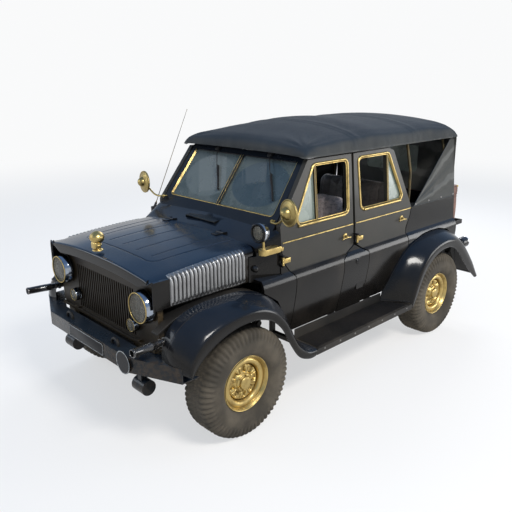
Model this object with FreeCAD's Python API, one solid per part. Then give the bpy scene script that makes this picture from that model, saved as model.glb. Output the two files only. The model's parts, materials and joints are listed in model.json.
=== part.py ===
# A soft-top four-door 4x4 car, restyled with flared wings, running boards and brass fittings.
# Millimetres. X points to the car's left, the front faces -Y, Z is up, the ground is Z = 0.
# The origin lies on the ground below the middle of the car.
import FreeCAD, Part
import math
import os

V = FreeCAD.Vector

# Driving dimensions of the running gear
WHEELBASE = 2380.0
TRACK = 1580.0
TYRE_R = 374.0
TYRE_W = 236.0
BEAD_R = 180.0
RIM_FLANGE_R = 192.0
RIM_WALL = 6.0
KINGPIN_X = 655.0
STEER_GAP = 0.5
SPRING_X = 430.0
SPRING_W = 56.0
SPRING_LEN = 1040.0
LEAF_T = 8.0
LEAVES = 7
DIFF_X = 130.0
AXLE_TUBE_R = 42.0

# Driving dimensions of the frame and floor
RAIL_X = 400.0
RAIL_W = 60.0
RAIL_Z0 = 530.0
RAIL_Z1 = 640.0
RAIL_FRONT = -1770.0
RAIL_REAR = 1600.0
HORN_REAR = 1745.0
HORN_Z1 = 580.0
TOW_Y = 1775.0
TOW_R = 16.0
TOW_T = 18.0
FLOOR_T = 14.0
SEAT_GAP = 0.3

# Driving dimensions of the body
DOOR_T = 38.0
SHUT_GAP = 6.0
SILL_Z = 500.0
CREASE_Z = 988.0
EAVE_Z = 1755.0
BODY_REAR = 1660.0
ENGINE_REAR = -885.0
COWL_FRONT = -955.0
BONNET_REAR = -900.0
BONNET_FRONT = -1735.0
BONNET_T = 12.0
SKIRT_STEP_Z = 1144.0
SKIRT_X = 648.0
SKIRT_Z = 966.0
GRILLE_Y = -1684.0
GRILLE_HALF = 626.0
SLAT_COUNT = 27
CANVAS_T = 8.0

FRONT_AXLE_Y = -WHEELBASE / 2
REAR_AXLE_Y = WHEELBASE / 2
WHEEL_X = TRACK / 2
AXLE_Z = TYRE_R
FLOOR_Z = RAIL_Z1 + SEAT_GAP

parts = {}


def box(x0, x1, y0, y1, z0, z1):
    return Part.makeBox(x1 - x0, y1 - y0, z1 - z0, V(x0, y0, z0))


def rod(start, end, radius):
    axis = end - start
    return Part.makeCylinder(radius, axis.Length, start, axis)


def mirrored(shape):
    return shape.mirror(V(0, 0, 0), V(1, 0, 0))


def both(shape):
    return Part.makeCompound([shape, mirrored(shape)])


def fused(shapes):
    return shapes[0].fuse(shapes[1:]).removeSplitter()


def polygon(points):
    return Part.makePolygon(points + [points[0]])


def rounded(points, radius):
    """Closed wire through the points with an arc of the radius at each corner."""
    edges = []
    ends = []
    count = len(points)
    for i in range(count):
        before = (points[i - 1] - points[i]).normalize()
        after = (points[(i + 1) % count] - points[i]).normalize()
        half = before.getAngle(after) / 2
        reach = radius / math.tan(half)
        middle = (before + after).normalize()
        start = points[i] + before * reach
        end = points[i] + after * reach
        peak = points[i] + middle * (radius / math.sin(half) - radius)
        ends.append((start, peak, end))
    for i in range(count):
        start, peak, end = ends[i]
        edges.append(Part.Arc(start, peak, end).toShape())
        edges.append(Part.makeLine(end, ends[(i + 1) % count][0]))
    return Part.Wire(edges)


def prism(wire, direction):
    return Part.Face(wire).extrude(direction)


def yz(points, x0, x1, radius=0.0):
    """Solid from (y, z) points, drawn at x0 and carried to x1, with rounded corners."""
    corners = [V(x0, y, z) for y, z in points]
    wire = rounded(corners, radius) if radius else polygon(corners)
    return prism(wire, V(x1 - x0, 0, 0))


def xz(points, y0, y1, radius=0.0):
    """Solid from (x, z) points, drawn at y0 and carried to y1, with rounded corners."""
    corners = [V(x, y0, z) for x, z in points]
    wire = rounded(corners, radius) if radius else polygon(corners)
    return prism(wire, V(0, y1 - y0, 0))


def xy(points, z0, z1, radius=0.0):
    """Solid from (x, y) points, drawn at z0 and carried to z1, with rounded corners."""
    corners = [V(x, y, z0) for x, y in points]
    wire = rounded(corners, radius) if radius else polygon(corners)
    return prism(wire, V(0, 0, z1 - z0))


def revolved(profile, centre, axis):
    """Full turn of (along, radius) points about an axis through the centre."""
    side = V(0, 0, 1) if abs(axis.z) < 0.9 else V(0, 1, 0)
    points = [centre + axis * along + side * radius for along, radius in profile]
    return Part.Face(polygon(points)).revolve(centre, axis, 360)


def bent_path(points, bend):
    """Open wire of straight runs joined by arcs of the bend radius."""
    edges = []
    last = points[0]
    for i in range(1, len(points) - 1):
        before = (points[i - 1] - points[i]).normalize()
        after = (points[i + 1] - points[i]).normalize()
        half = before.getAngle(after) / 2
        reach = bend / math.tan(half)
        middle = (before + after).normalize()
        start = points[i] + before * reach
        end = points[i] + after * reach
        peak = points[i] + middle * (bend / math.sin(half) - bend)
        edges.append(Part.makeLine(last, start))
        edges.append(Part.Arc(start, peak, end).toShape())
        last = end
    edges.append(Part.makeLine(last, points[-1]))
    return Part.Wire(edges)


def pipe(points, radius, bend):
    path = bent_path(points, bend)
    first = (points[1] - points[0]).normalize()
    ring = Part.Wire(Part.makeCircle(radius, points[0], first))
    return path.makePipeShell([ring], True, False)


def spline(points):
    curve = Part.BSplineCurve()
    curve.interpolate(points)
    return curve.toShape()


def band_wire(outer, inner):
    """Closed section between two smooth curves that run the same way."""
    first = spline(outer)
    last = spline(list(reversed(inner)))
    ends = [Part.makeLine(outer[-1], inner[-1]), Part.makeLine(inner[0], outer[0])]
    return Part.Wire([first, ends[0], last, ends[1]])


def loft(wires):
    return Part.makeLoft(wires, True, False)


# Body side: one section in X and Z, from the sill through the bulge and the crease to the eaves
LOWER_SIDE = [(700, SILL_Z), (734, 640), (760, 780), (772, 880), (766, 945), (744, CREASE_Z - 6)]
UPPER_SIDE = [(734, CREASE_Z), (722, 1200), (672, EAVE_Z + 5)]


def side_curve(shift, y):
    """Outer line of the body side in the plane y, moved inwards by the shift."""
    lower = [V(x - shift, y, z) for x, z in LOWER_SIDE]
    upper = [V(x - shift, y, z) for x, z in UPPER_SIDE]
    edges = [spline(lower), Part.makeLine(lower[-1], upper[0])]
    edges += [Part.makeLine(upper[i], upper[i + 1]) for i in range(len(upper) - 1)]
    return edges


def side_slab(shift, x_inner, y0, y1):
    """Solid between the body side line and the plane x_inner."""
    edges = side_curve(shift, y0)
    low = edges[0].Vertexes[0].Point
    high = edges[-1].Vertexes[-1].Point
    edges.append(Part.makeLine(high, V(x_inner, y0, high.z)))
    edges.append(Part.makeLine(V(x_inner, y0, high.z), V(x_inner, y0, low.z)))
    edges.append(Part.makeLine(V(x_inner, y0, low.z), low))
    return prism(Part.Wire(edges), V(0, y1 - y0, 0))


def side_wall(y0, y1, thickness):
    outer = side_slab(0, 400, y0, y1)
    inner = side_slab(thickness, 390, y0 - 1, y1 + 1)
    return outer.cut(inner)


# Wing lines in the side view: crest, line against the body and lower edge of the lip, as (y, z)
FRONT_WING = [
    ((-545, 420), (-545, 420), (-545, 374)),
    ((-640, 440), (-600, 470), (-625, 362)),
    ((-730, 520), (-655, 560), (-735, 430)),
    ((-800, 640), (-715, 690), (-835, 570)),
    ((-860, 740), (-790, 800), (-905, 690)),
    ((-960, 837), (-910, 890), (-1000, 778)),
    ((-1085, 895), (-1060, 940), (-1110, 822)),
    ((-1200, 908), (-1200, 953), (-1200, 832)),
    ((-1320, 900), (-1340, 953), (-1305, 825)),
    ((-1439, 868), (-1480, 940), (-1420, 795)),
    ((-1555, 812), (-1620, 905), (-1530, 745)),
    ((-1640, 745), (-1740, 845), (-1610, 702)),
    ((-1668, 705), (-1825, 765), (-1652, 686)),
]
REAR_WING = [
    ((700, 420), (560, 420), (715, 374)),
    ((722, 510), (600, 540), (775, 470)),
    ((775, 636), (670, 700), (840, 590)),
    ((845, 745), (780, 835), (905, 680)),
    ((940, 825), (900, 895), (990, 752)),
    ((1060, 873), (1050, 930), (1085, 798)),
    ((1200, 893), (1200, 940), (1200, 818)),
    ((1330, 888), (1350, 935), (1320, 808)),
    ((1440, 862), (1480, 905), (1415, 765)),
    ((1540, 805), (1590, 835), (1500, 690)),
    ((1641, 712), (1680, 730), (1600, 590)),
    ((1774, 565), (1790, 570), (1725, 478)),
    ((1890, 400), (1900, 400), (1845, 385)),
]
WING_EDGE_X = 930.0
WING_T = 10.0
WING_BULGE = 16.0
WING_SEAT_X = 700.0


def crest_normal(stations, i):
    """Outward normal of the crest line at a station, in the side view."""
    before = stations[max(i - 1, 0)][0]
    after = stations[min(i + 1, len(stations) - 1)][0]
    run = V(0, after[0] - before[0], after[1] - before[1]).normalize()
    normal = V(0, -run.z, run.y)
    return normal if stations is REAR_WING else normal * -1


def wing_lines(stations, i, inner_x):
    """Outer and inner points of a section: crowned top from the body to the crest, then the lip."""
    (crest_y, crest_z), (seat_y, seat_z), (lip_y, lip_z) = stations[i]
    span = V(0, crest_y - seat_y, crest_z - seat_z)
    out = crest_normal(stations, i)
    bulge = WING_BULGE * min(1, max(0, crest_z - 420) / 200)
    seat = V(inner_x, seat_y, seat_z)
    crest = V(WING_EDGE_X - 26, crest_y, crest_z)
    middle = V((inner_x + WING_EDGE_X - 26) / 2, seat_y, seat_z) + span * 0.42 + out * bulge
    lip = V(WING_EDGE_X, lip_y, lip_z)
    roll = V(WING_EDGE_X + 2, 0, 0) + V(0, crest_y * 0.62 + lip_y * 0.38, crest_z * 0.62 + lip_z * 0.38)
    outer = [seat, middle, crest, roll, lip]
    inner = [seat - out * WING_T, middle - out * WING_T, crest - out * WING_T - V(WING_T / 2, 0, 0)]
    inner += [roll - V(WING_T, 0, 0), lip - V(WING_T, 0, 0)]
    return outer, inner


def wing(stations, inner_x):
    """Solid wing lofted through its sections; its ends are not flat, so ruled faces close them."""
    lines = [wing_lines(stations, i, inner_x) for i in range(len(stations))]
    skin = Part.makeLoft([band_wire(outer, inner) for outer, inner in lines], False, False)
    ends = [Part.makeRuledSurface(spline(outer), spline(inner)) for outer, inner in (lines[0], lines[-1])]
    shell = Part.makeShell(skin.Faces + ends)
    shell.sewShape()
    solid = Part.makeSolid(shell)
    if solid.Volume < 0:
        solid.reverse()
    return solid


JACK_Y = -300.0
JACK_HALF = 34.0
JACK_T = 6.0


def jack_pads():
    """Flat pads below the rails that take the saddle of a jack."""
    pads = []
    for x in (-RAIL_X, RAIL_X):
        pads.append(box(x - RAIL_W / 2, x + RAIL_W / 2, JACK_Y - JACK_HALF, JACK_Y + JACK_HALF,
                        RAIL_Z0 - JACK_T, RAIL_Z0 + 1))
    return pads


def frame_rails():
    rails = []
    for side in (-1, 1):
        x = side * RAIL_X
        half = RAIL_W / 2
        outline = [(RAIL_FRONT, RAIL_Z0 + 40), (RAIL_FRONT + 330, RAIL_Z0), (RAIL_REAR - 330, RAIL_Z0)]
        outline += [(HORN_REAR, HORN_Z1 - 40), (HORN_REAR, HORN_Z1), (RAIL_REAR + 8, HORN_Z1)]
        outline += [(RAIL_REAR, RAIL_Z1), (RAIL_FRONT, RAIL_Z1)]
        rails.append(yz(outline, x - half, x + half))
    for y in (RAIL_FRONT + 90, -760, 60, 690, RAIL_REAR - 60):
        rails.append(box(-RAIL_X, RAIL_X, y - 35, y + 35, RAIL_Z1 - 75, RAIL_Z1 - 5))
    rails.append(box(-RAIL_X, RAIL_X, HORN_REAR - 60, HORN_REAR, HORN_Z1 - 40, HORN_Z1))
    plate = xy([(-70, HORN_REAR - 1), (70, HORN_REAR - 1), (38, TOW_Y + 34), (-38, TOW_Y + 34)],
               HORN_Z1 - TOW_T, HORN_Z1)
    hole = rod(V(0, TOW_Y, HORN_Z1 - 100), V(0, TOW_Y, HORN_Z1 + 10), TOW_R)
    return fused(rails + jack_pads() + [plate]).cut(hole)


def axle_tube(y, reach):
    """Axle casing along X with its round gear housing, offset to the left."""
    casing = rod(V(-reach, y, AXLE_Z), V(reach, y, AXLE_Z), AXLE_TUBE_R)
    housing = Part.makeSphere(128, V(DIFF_X, y, AXLE_Z))
    neck = 64 if y < 0 else -64
    nose = Part.makeCone(95, 48, 190, V(DIFF_X, y, AXLE_Z), V(0, neck, 6))
    return [casing, housing.common(box(DIFF_X - 100, DIFF_X + 100, y - 130, y + 130, 0, 900)), nose]


YOKE_IN = 590.0
YOKE_H = 108.0
YOKE_ARM = 24.0
PIN_R = 15.0


def yoke():
    web = box(YOKE_IN - 20, YOKE_IN, FRONT_AXLE_Y - 52, FRONT_AXLE_Y + 52, AXLE_Z - YOKE_H, AXLE_Z + YOKE_H)
    shapes = [web]
    for z in (AXLE_Z - YOKE_H, AXLE_Z + YOKE_H - YOKE_ARM):
        arm = box(YOKE_IN - 20, KINGPIN_X, FRONT_AXLE_Y - 40, FRONT_AXLE_Y + 40, z, z + YOKE_ARM)
        eye = rod(V(KINGPIN_X, FRONT_AXLE_Y, z), V(KINGPIN_X, FRONT_AXLE_Y, z + YOKE_ARM), 40)
        shapes += [arm, eye]
    hole = rod(V(KINGPIN_X, FRONT_AXLE_Y, AXLE_Z - 200), V(KINGPIN_X, FRONT_AXLE_Y, AXLE_Z + 200), PIN_R + STEER_GAP)
    return fused(shapes).cut(hole)


def front_axle():
    return fused(axle_tube(FRONT_AXLE_Y, YOKE_IN - 10) + [yoke(), mirrored(yoke())])


HUB_FACE = 742.0
SPINDLE_R = 24.0


def spindle(x0, x1, y):
    return rod(V(x0, y, AXLE_Z), V(x1, y, AXLE_Z), SPINDLE_R)


def rear_axle():
    flange = rod(V(HUB_FACE - 44, REAR_AXLE_Y, AXLE_Z), V(HUB_FACE - 24, REAR_AXLE_Y, AXLE_Z), 80)
    end = [flange, spindle(HUB_FACE - 44, WHEEL_X + 20, REAR_AXLE_Y)]
    return fused(axle_tube(REAR_AXLE_Y, HUB_FACE - 40) + end + [mirrored(shape) for shape in end])


def knuckle():
    """Steering knuckle: upright with its two pins, back plate and wheel spindle."""
    height = YOKE_H - YOKE_ARM - STEER_GAP
    centre = V(KINGPIN_X, FRONT_AXLE_Y, AXLE_Z)
    upright = rod(centre - V(0, 0, height), centre + V(0, 0, height), 38)
    pin = rod(centre - V(0, 0, YOKE_H), centre + V(0, 0, YOKE_H), PIN_R)
    boss = rod(centre, V(HUB_FACE - 40, FRONT_AXLE_Y, AXLE_Z), 52)
    plate = rod(V(HUB_FACE - 44, FRONT_AXLE_Y, AXLE_Z), V(HUB_FACE - 24, FRONT_AXLE_Y, AXLE_Z), 80)
    arm = box(KINGPIN_X - 16, KINGPIN_X + 16, FRONT_AXLE_Y + 30, FRONT_AXLE_Y + 150, AXLE_Z - 60, AXLE_Z - 42)
    return fused([upright, pin, boss, plate, spindle(HUB_FACE - 44, WHEEL_X + 20, FRONT_AXLE_Y), arm])


def spring_pack(y):
    """One leaf pack at rest, slightly bowed, with its clamp and its end eyes."""
    half = SPRING_LEN / 2
    seat = AXLE_Z + AXLE_TUBE_R
    shapes = []
    for i in range(LEAVES):
        reach = half * (1 - 0.11 * i)
        rise = 46 * (1 - 0.11 * i) ** 2
        z = seat + (LEAVES - 1 - i) * LEAF_T
        low = [(y - reach, z + rise), (y, z), (y + reach, z + rise)]
        top = [(py, pz + LEAF_T) for py, pz in low]
        x0 = SPRING_X - SPRING_W / 2
        first = Part.Arc(V(x0, *low[0]), V(x0, *low[1]), V(x0, *low[2])).toShape()
        last = Part.Arc(V(x0, *top[2]), V(x0, *top[1]), V(x0, *top[0])).toShape()
        ends = [Part.makeLine(V(x0, *low[2]), V(x0, *top[2])), Part.makeLine(V(x0, *top[0]), V(x0, *low[0]))]
        shapes.append(prism(Part.Wire([first, ends[0], last, ends[1]]), V(SPRING_W, 0, 0)))
    eye_z = seat + (LEAVES - 1) * LEAF_T + 46
    for end_y in (y - half, y + half):
        shapes.append(rod(V(SPRING_X - SPRING_W / 2, end_y, eye_z), V(SPRING_X + SPRING_W / 2, end_y, eye_z), 22))
        top = RAIL_Z0 + (34 if abs(end_y) > 1650 else 12)
        hanger = yz([(end_y - 24, eye_z - 10), (end_y + 24, eye_z - 10), (end_y + 30, top), (end_y - 40, top)],
                    SPRING_X - 14, SPRING_X + 14)
        shapes.append(hanger)
    clamp = box(SPRING_X - 40, SPRING_X + 40, y - 45, y + 45, seat - 12, seat + LEAVES * LEAF_T + 10)
    shapes.append(clamp)
    return fused(shapes)


def leaf_springs():
    front = spring_pack(FRONT_AXLE_Y).cut(front_axle())
    rear = spring_pack(REAR_AXLE_Y).cut(rear_axle())
    rails = frame_rails()
    packs = [front.cut(rails), rear.cut(rails)]
    return Part.makeCompound(packs + [mirrored(pack) for pack in packs])


def drivetrain():
    gearbox = box(-125, 125, ENGINE_REAR + SEAT_GAP, -300, 480, 735)
    transfer = box(-120, 200, -300, -40, 400, 620)
    front = rod(V(DIFF_X, -299, 480), V(DIFF_X, FRONT_AXLE_Y + 195, AXLE_Z + 18), 26)
    rear = rod(V(DIFF_X, -40, 480), V(DIFF_X, REAR_AXLE_Y - 195, AXLE_Z + 18), 26)
    return fused([gearbox.cut(box(60, 200, -900, -299, 400, 560)), transfer, front, rear]).cut(
        Part.makeCompound([frame_rails(), front_axle(), rear_axle()]))


ENGINE_HALF = 190.0
ENGINE_FRONT = -1500.0
ENGINE_Z0 = 600.0
ENGINE_Z1 = 1080.0


def engine():
    block = box(-ENGINE_HALF, ENGINE_HALF, ENGINE_FRONT, ENGINE_REAR, ENGINE_Z0, ENGINE_Z1)
    feet = box(-RAIL_X, RAIL_X, -1190, -1110, RAIL_Z1 + SEAT_GAP, RAIL_Z1 + 40)
    return fused([block, feet]).cut(frame_rails())


PIPE_X = -262.0
PIPE_R = 24.0
SILENCER_R = 62.0
SILENCER_Y0 = 130.0
SILENCER_Y1 = 540.0


def exhaust():
    z = RAIL_Z1 - 75 - PIPE_R - SEAT_GAP
    port = ENGINE_Z0 + 20
    lead = [V(-ENGINE_HALF, -1000, port), V(PIPE_X, -1000, port), V(PIPE_X, -860, z), V(PIPE_X, SILENCER_Y0 + 10, z)]
    tail = [V(PIPE_X, SILENCER_Y1 - 20, z), V(PIPE_X, 1500, z), V(PIPE_X - 38, 1680, z - 30)]
    silencer = rod(V(PIPE_X, SILENCER_Y0, z - 20), V(PIPE_X, SILENCER_Y1, z - 20), SILENCER_R)
    clear = box(-400, 400, 600, 760, RAIL_Z1 - 75, RAIL_Z1)
    return fused([pipe(lead, PIPE_R, 40), silencer, pipe(tail, PIPE_R, 80)]).cut(clear)


TANK_X0 = 440.0
TANK_X1 = 624.0
TANK_Y0 = -470.0
TANK_Y1 = 40.0
TANK_Z0 = 470.0
TANK_EDGE_R = 24.0


def fuel_tanks():
    tank = box(TANK_X0, TANK_X1, TANK_Y0, TANK_Y1, TANK_Z0, RAIL_Z1)
    tank = tank.makeFillet(TANK_EDGE_R, tank.Edges)
    return both(tank)


GATE_HINGE_Y = 1656.0
GATE_HINGE_Z = 598.0
GATE_BARREL_X = 572.0


def gate_hangers():
    """Fixed half of the gate hinge: a hanger below the floor at each end and its pin."""
    x0 = GATE_BARREL_X + SEAT_GAP
    plate = yz([(1580, FLOOR_Z + 4), (1616, FLOOR_Z + 4), (1621, GATE_HINGE_Z + 3), (GATE_HINGE_Y, GATE_HINGE_Z + 3),
                (GATE_HINGE_Y, GATE_HINGE_Z - 8), (1612, GATE_HINGE_Z - 8)], x0, x0 + 10)
    eye = rod(V(x0, GATE_HINGE_Y, GATE_HINGE_Z), V(x0 + 10, GATE_HINGE_Y, GATE_HINGE_Z), 8)
    pin = rod(V(x0 - 40, GATE_HINGE_Y, GATE_HINGE_Z), V(x0 + 10, GATE_HINGE_Y, GATE_HINGE_Z), HINGE_PIN_R)
    shape = fused([plate, eye, pin])
    return [shape, mirrored(shape)]


def floor_pan():
    """Pressed floor: flat pan, gearbox tunnel, slanted toe board, wheel boxes and sills."""
    top = FLOOR_Z + FLOOR_T
    pan = box(-660, 660, -640, BODY_REAR - 40, FLOOR_Z, top)
    tunnel = box(-180, 180, -860, -200, FLOOR_Z, 790).cut(box(-166, 166, -900, -214, 600, 776))
    toe = yz([(-640, FLOOR_Z), (-628, top), (-760, 800), (-870, 800), (-870, 786), (-768, 786)], -640, 640)
    opening = box(-166, 166, -900, -214, 600, 776)
    sill = both(box(628, 656, -540, 560, SILL_Z + 8, FLOOR_Z + FLOOR_T))
    wheel = yz([(790, top - 8), (860, 900), (BODY_REAR - 60, 900), (BODY_REAR - 60, top - 8)], 500, 655, 0)
    inner = yz([(800, 500), (873, 888), (BODY_REAR - 20, 888), (BODY_REAR - 20, 500)], 512, 700, 0)
    arch = wheel.cut(inner)
    hole = both(box(512, 700, 806, BODY_REAR - 72, 600, 888))
    shell = fused([pan.cut(opening), tunnel, toe.cut(opening), sill.Solids[0], sill.Solids[1]])
    return shell.cut(hole).fuse([arch, mirrored(arch)] + gate_hangers()).removeSplitter()


# Plan lines of the cowl: half width at its front and at the doors
COWL_FRONT_X = 652.0
COWL_REAR_Y = -721.0
WINDSCREEN_Y = -737.0
WINDSCREEN_Z = 1289.0


def cowl_ring(y, half, floor_z, edge_z, crown_z):
    shoulder = 46
    points = [V(-half, y, floor_z), V(half, y, floor_z), V(half, y, edge_z - shoulder)]
    points += [V(half - 14, y, edge_z - 12), V(half - shoulder, y, edge_z)]
    points += [V(0, y, crown_z), V(-half + shoulder, y, edge_z)]
    points += [V(-half + 14, y, edge_z - 12), V(-half, y, edge_z - shoulder)]
    return polygon(points)


BONNET_HINGE_Z = 1240.0
BONNET_HINGE_X = 300.0
BONNET_PIN_R = 4.0
BONNET_BARREL_R = 8.0
BONNET_BARREL_HALF = 30.0


def bonnet_hinge_y():
    return BONNET_REAR - SHUT_GAP / 2


def bonnet_ears():
    """Fixed halves of the two bonnet hinges: ears on the cowl with a pin between them."""
    y = bonnet_hinge_y()
    ears = []
    for x in (-BONNET_HINGE_X, BONNET_HINGE_X):
        end = BONNET_BARREL_HALF + SEAT_GAP
        ears.append(rod(V(x - end - 8, y, BONNET_HINGE_Z), V(x + end + 8, y, BONNET_HINGE_Z), BONNET_PIN_R))
        for x0 in (x - end - 8, x + end):
            ears.append(rod(V(x0, y, BONNET_HINGE_Z), V(x0 + 8, y, BONNET_HINGE_Z), BONNET_BARREL_R))
            ears.append(box(x0, x0 + 8, y, y + 34, 1212, BONNET_HINGE_Z + 4))
    return ears


def bonnet_barrels():
    """Moving halves: a bored barrel on a leaf that lies on the bonnet."""
    y = bonnet_hinge_y()
    barrels = []
    for x in (-BONNET_HINGE_X, BONNET_HINGE_X):
        start = V(x - BONNET_BARREL_HALF, y, BONNET_HINGE_Z)
        end = V(x + BONNET_BARREL_HALF, y, BONNET_HINGE_Z)
        leaf = box(start.x, end.x, y - 40, y, 1220, BONNET_HINGE_Z - 2)
        reach = V(10, 0, 0)
        bore = rod(start - reach, end + reach, BONNET_PIN_R + PIN_CLEARANCE)
        barrels.append(fused([rod(start, end, BONNET_BARREL_R), leaf]).cut(bore))
    return barrels


VENT_X0 = -200.0
VENT_X1 = 150.0
VENT_Y = -836.0
VENT_Z = 1277.0
VENT_T = 4.0
KNOB_Y = -918.0
KNOB_Z = 1054.0


def vent_flap():
    """Air flap that stands open on top of the cowl, between its two cheeks."""
    flap = yz([(VENT_Y, VENT_Z - VENT_T), (VENT_Y, VENT_Z), (VENT_Y + 91, VENT_Z + 6), (VENT_Y + 91, VENT_Z + 2)],
              VENT_X0, VENT_X1)
    cheeks = [box(x, x + VENT_T, VENT_Y + 6, VENT_Y + 80, VENT_Z - 30, VENT_Z) for x in (VENT_X0, VENT_X1 - VENT_T)]
    return [flap] + cheeks


def side_knob():
    """Domed marker lamp body on a short stem at the side of the cowl."""
    profile = [(-30, 0), (-30, 12), (0, 13), (4, 21), (14, 24), (26, 20), (33, 10), (35, 0)]
    return revolved(profile, V(662, KNOB_Y, KNOB_Z), V(1, 0, 0))


def cowl():
    """Cowl: hollow box between the bonnet and the doors, with the bulkhead and the dashboard."""
    outer = Part.makeLoft([cowl_ring(COWL_FRONT, COWL_FRONT_X, 960, 1177, 1219),
                           cowl_ring(COWL_REAR_Y, 724, 960, 1292, 1304)], True, True)
    inner = Part.makeLoft([cowl_ring(COWL_FRONT - 1, COWL_FRONT_X - 14, 900, 1163, 1205),
                           cowl_ring(COWL_REAR_Y + 1, 710, 900, 1278, 1290)], True, True)
    shell = outer.cut(inner)
    notch = box(-700, 700, COWL_FRONT - 5, BONNET_REAR, SKIRT_STEP_Z - SHUT_GAP, 1300)
    bulkhead = box(-648, 648, -872, -860, 800 + SEAT_GAP, 1205)
    lower = side_wall(-925, -606, DOOR_T - 14).common(
        yz([(-925, 905), (-790, 815), (-715, 705), (-655, 575), (-606, 480), (-606, 944), (-700, 1060), (-722, 1172),
            (-724, 1172), (-724, CREASE_Z - 5), (-925, CREASE_Z - 5)], 600, 800))
    lower = lower.cut(box(708, 800, -724, -650, HINGE_Z - 24, HINGE_Z + 24))
    shelf = box(640, 720, -925, -725, 962, CREASE_Z - 5)
    dash = yz([(-735, 1060), (-640, 1060), (-640, 1262), (-735, 1281)], -650, 650)
    ears = hinge_ears(FRONT_HINGE_Y, 712)
    pieces = [shell.cut(notch), bulkhead, dash, lower, mirrored(lower), shelf, mirrored(shelf)]
    pieces += ears + [mirrored(ear) for ear in ears] + bonnet_ears()
    pieces += vent_flap() + [side_knob(), mirrored(side_knob())]
    wing_solid = wing(FRONT_WING, WING_SEAT_X - 20)
    return fused(pieces).cut([wing_solid, mirrored(wing_solid)])


SLAT_HALF = 372.0


def grille_panel():
    """Front panel with the upright slats between the lamps and its folded edge."""
    outline = [(-GRILLE_HALF, 690), (GRILLE_HALF, 690), (GRILLE_HALF, 1118), (420, 1152), (-420, 1152),
               (-GRILLE_HALF, 1118)]
    panel = xz(outline, GRILLE_Y, GRILLE_Y + 40, 18)
    hollow = xz([(-GRILLE_HALF + 8, 680), (GRILLE_HALF - 8, 680), (GRILLE_HALF - 8, 1106), (412, 1140), (-412, 1140),
                 (-GRILLE_HALF + 8, 1106)], GRILLE_Y + 10, GRILLE_Y + 41, 12)
    shell = panel.cut(hollow)
    pitch = 2 * SLAT_HALF / SLAT_COUNT
    slots = []
    for i in range(SLAT_COUNT):
        x = -SLAT_HALF + (i + 0.5) * pitch
        slots.append(box(x - pitch * 0.3, x + pitch * 0.3, GRILLE_Y - 1, GRILLE_Y + 11, 712, 1030))
    apron = box(-600, 600, GRILLE_Y - 20, GRILLE_Y + 40, BUMPER_Z1 + 3, 692)
    rest = both(box(RAIL_X - 28, RAIL_X + 28, GRILLE_Y - 20, GRILLE_Y + 40, RAIL_Z1 + SEAT_GAP, 700))
    return fused([shell.cut(Part.makeCompound(slots)), apron] + rest.Solids).cut(frame_rails())


def inner_wings():
    """Arch roof between the engine bay and the wheel, with its inner wall."""
    line = [(-878, 866)] + [station[1] for station in FRONT_WING[5:12]]
    top = [(y, z) for y, z in line]
    low = [(y, z - WING_T) for y, z in reversed(line)]
    strip = yz(top + low, 466, WING_SEAT_X - SEAT_GAP)
    wall = yz(top + [(-1655, 640.5), (-878, 640.5)], 466, 476)
    nose = box(466, GRILLE_HALF + 8, -1760, GRILLE_Y + 42, 600, 1000)
    return both(fused([strip, wall]).cut(nose))


def front_wings():
    shape = wing(FRONT_WING, WING_SEAT_X)
    envelope = side_slab(-SEAT_GAP, 300, -960, -500)
    return both(shape.cut(envelope))


def rear_wings():
    shape = wing(REAR_WING, WING_SEAT_X - 10)
    envelope = side_slab(-SEAT_GAP, 300, 400, BODY_REAR + 1)
    return both(shape.cut(envelope))


BOARD_Z = 420.0
BOARD_IN = 700.0
BOARD_T = 16.0
BOARD_MAT = 4.0
VALANCE_T = 6.0


def running_boards():
    """Boards between the wings: folded edge, tread mat, valance up to the sill and brackets from the frame."""
    low = BOARD_Z - BOARD_T
    board = box(BOARD_IN, WING_EDGE_X, -544, 690, low, BOARD_Z)
    valance = box(BOARD_IN - VALANCE_T, BOARD_IN + 1, -538, 556, low, SILL_Z - 3)
    edge = box(WING_EDGE_X - 12, WING_EDGE_X, -544, 699, BOARD_Z - 46, BOARD_Z)
    root = RAIL_X + RAIL_W / 2 + SEAT_GAP
    bracket = [box(root, BOARD_IN + 20, y - 20, y + 20, low - 30, low) for y in (-520, 100, 600)]
    stay = [box(root, RAIL_X + 60, y - 20, y + 20, low - 30, RAIL_Z1 - 40) for y in (-520, 100, 600)]
    mat = xy([(BOARD_IN + 6, -520), (WING_EDGE_X - 14, -520), (WING_EDGE_X - 14, 660), (BOARD_IN + 6, 536)],
             BOARD_Z - 1, BOARD_Z + BOARD_MAT)
    shape = fused([board, edge, mat, valance] + bracket + stay)
    wings = Part.makeCompound([front_wings(), rear_wings()])
    return both(shape.cut([fuel_tanks(), wings]))


# Outlines of the side panels as (y, z)
FRONT_DOOR = [(-600, 508), (-600, 948), (-692, 1062), (-715, 1180), (-715, 1318), (-404, EAVE_Z - 15),
              (92, EAVE_Z - 15), (92, 1040), (-63, 950), (-63, 508)]
REAR_DOOR = [(263, 508), (263, 955), (118, 1040), (118, EAVE_Z - 15), (590, EAVE_Z - 15), (660, 1715),
             (912, 1215), (890, 1140), (830, 1040), (830, 880), (762, 840), (655, 705), (585, 545), (560, 508)]
QUARTER = [(920, 1204), (898, 1138), (838, 1034), (838, 895), (900, 912), (1050, 946), (1200, 956), (1350, 951),
           (1480, 921), (1590, 851), (1640, 790), (BODY_REAR - 36, 640), (BODY_REAR, 640), (BODY_REAR, 1204)]
FRONT_WINDOW = [(-566, 1340), (-66, 1340), (-62, 1700), (-345, 1700)]
REAR_WINDOW = [(170, 1340), (706, 1340), (548, 1700), (150, 1700)]
FRONT_DIVIDER_Y = -332.0
REAR_DIVIDER_Y = 538.0
DIVIDER_W = 14.0
GLASS_T = 5.0


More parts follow.
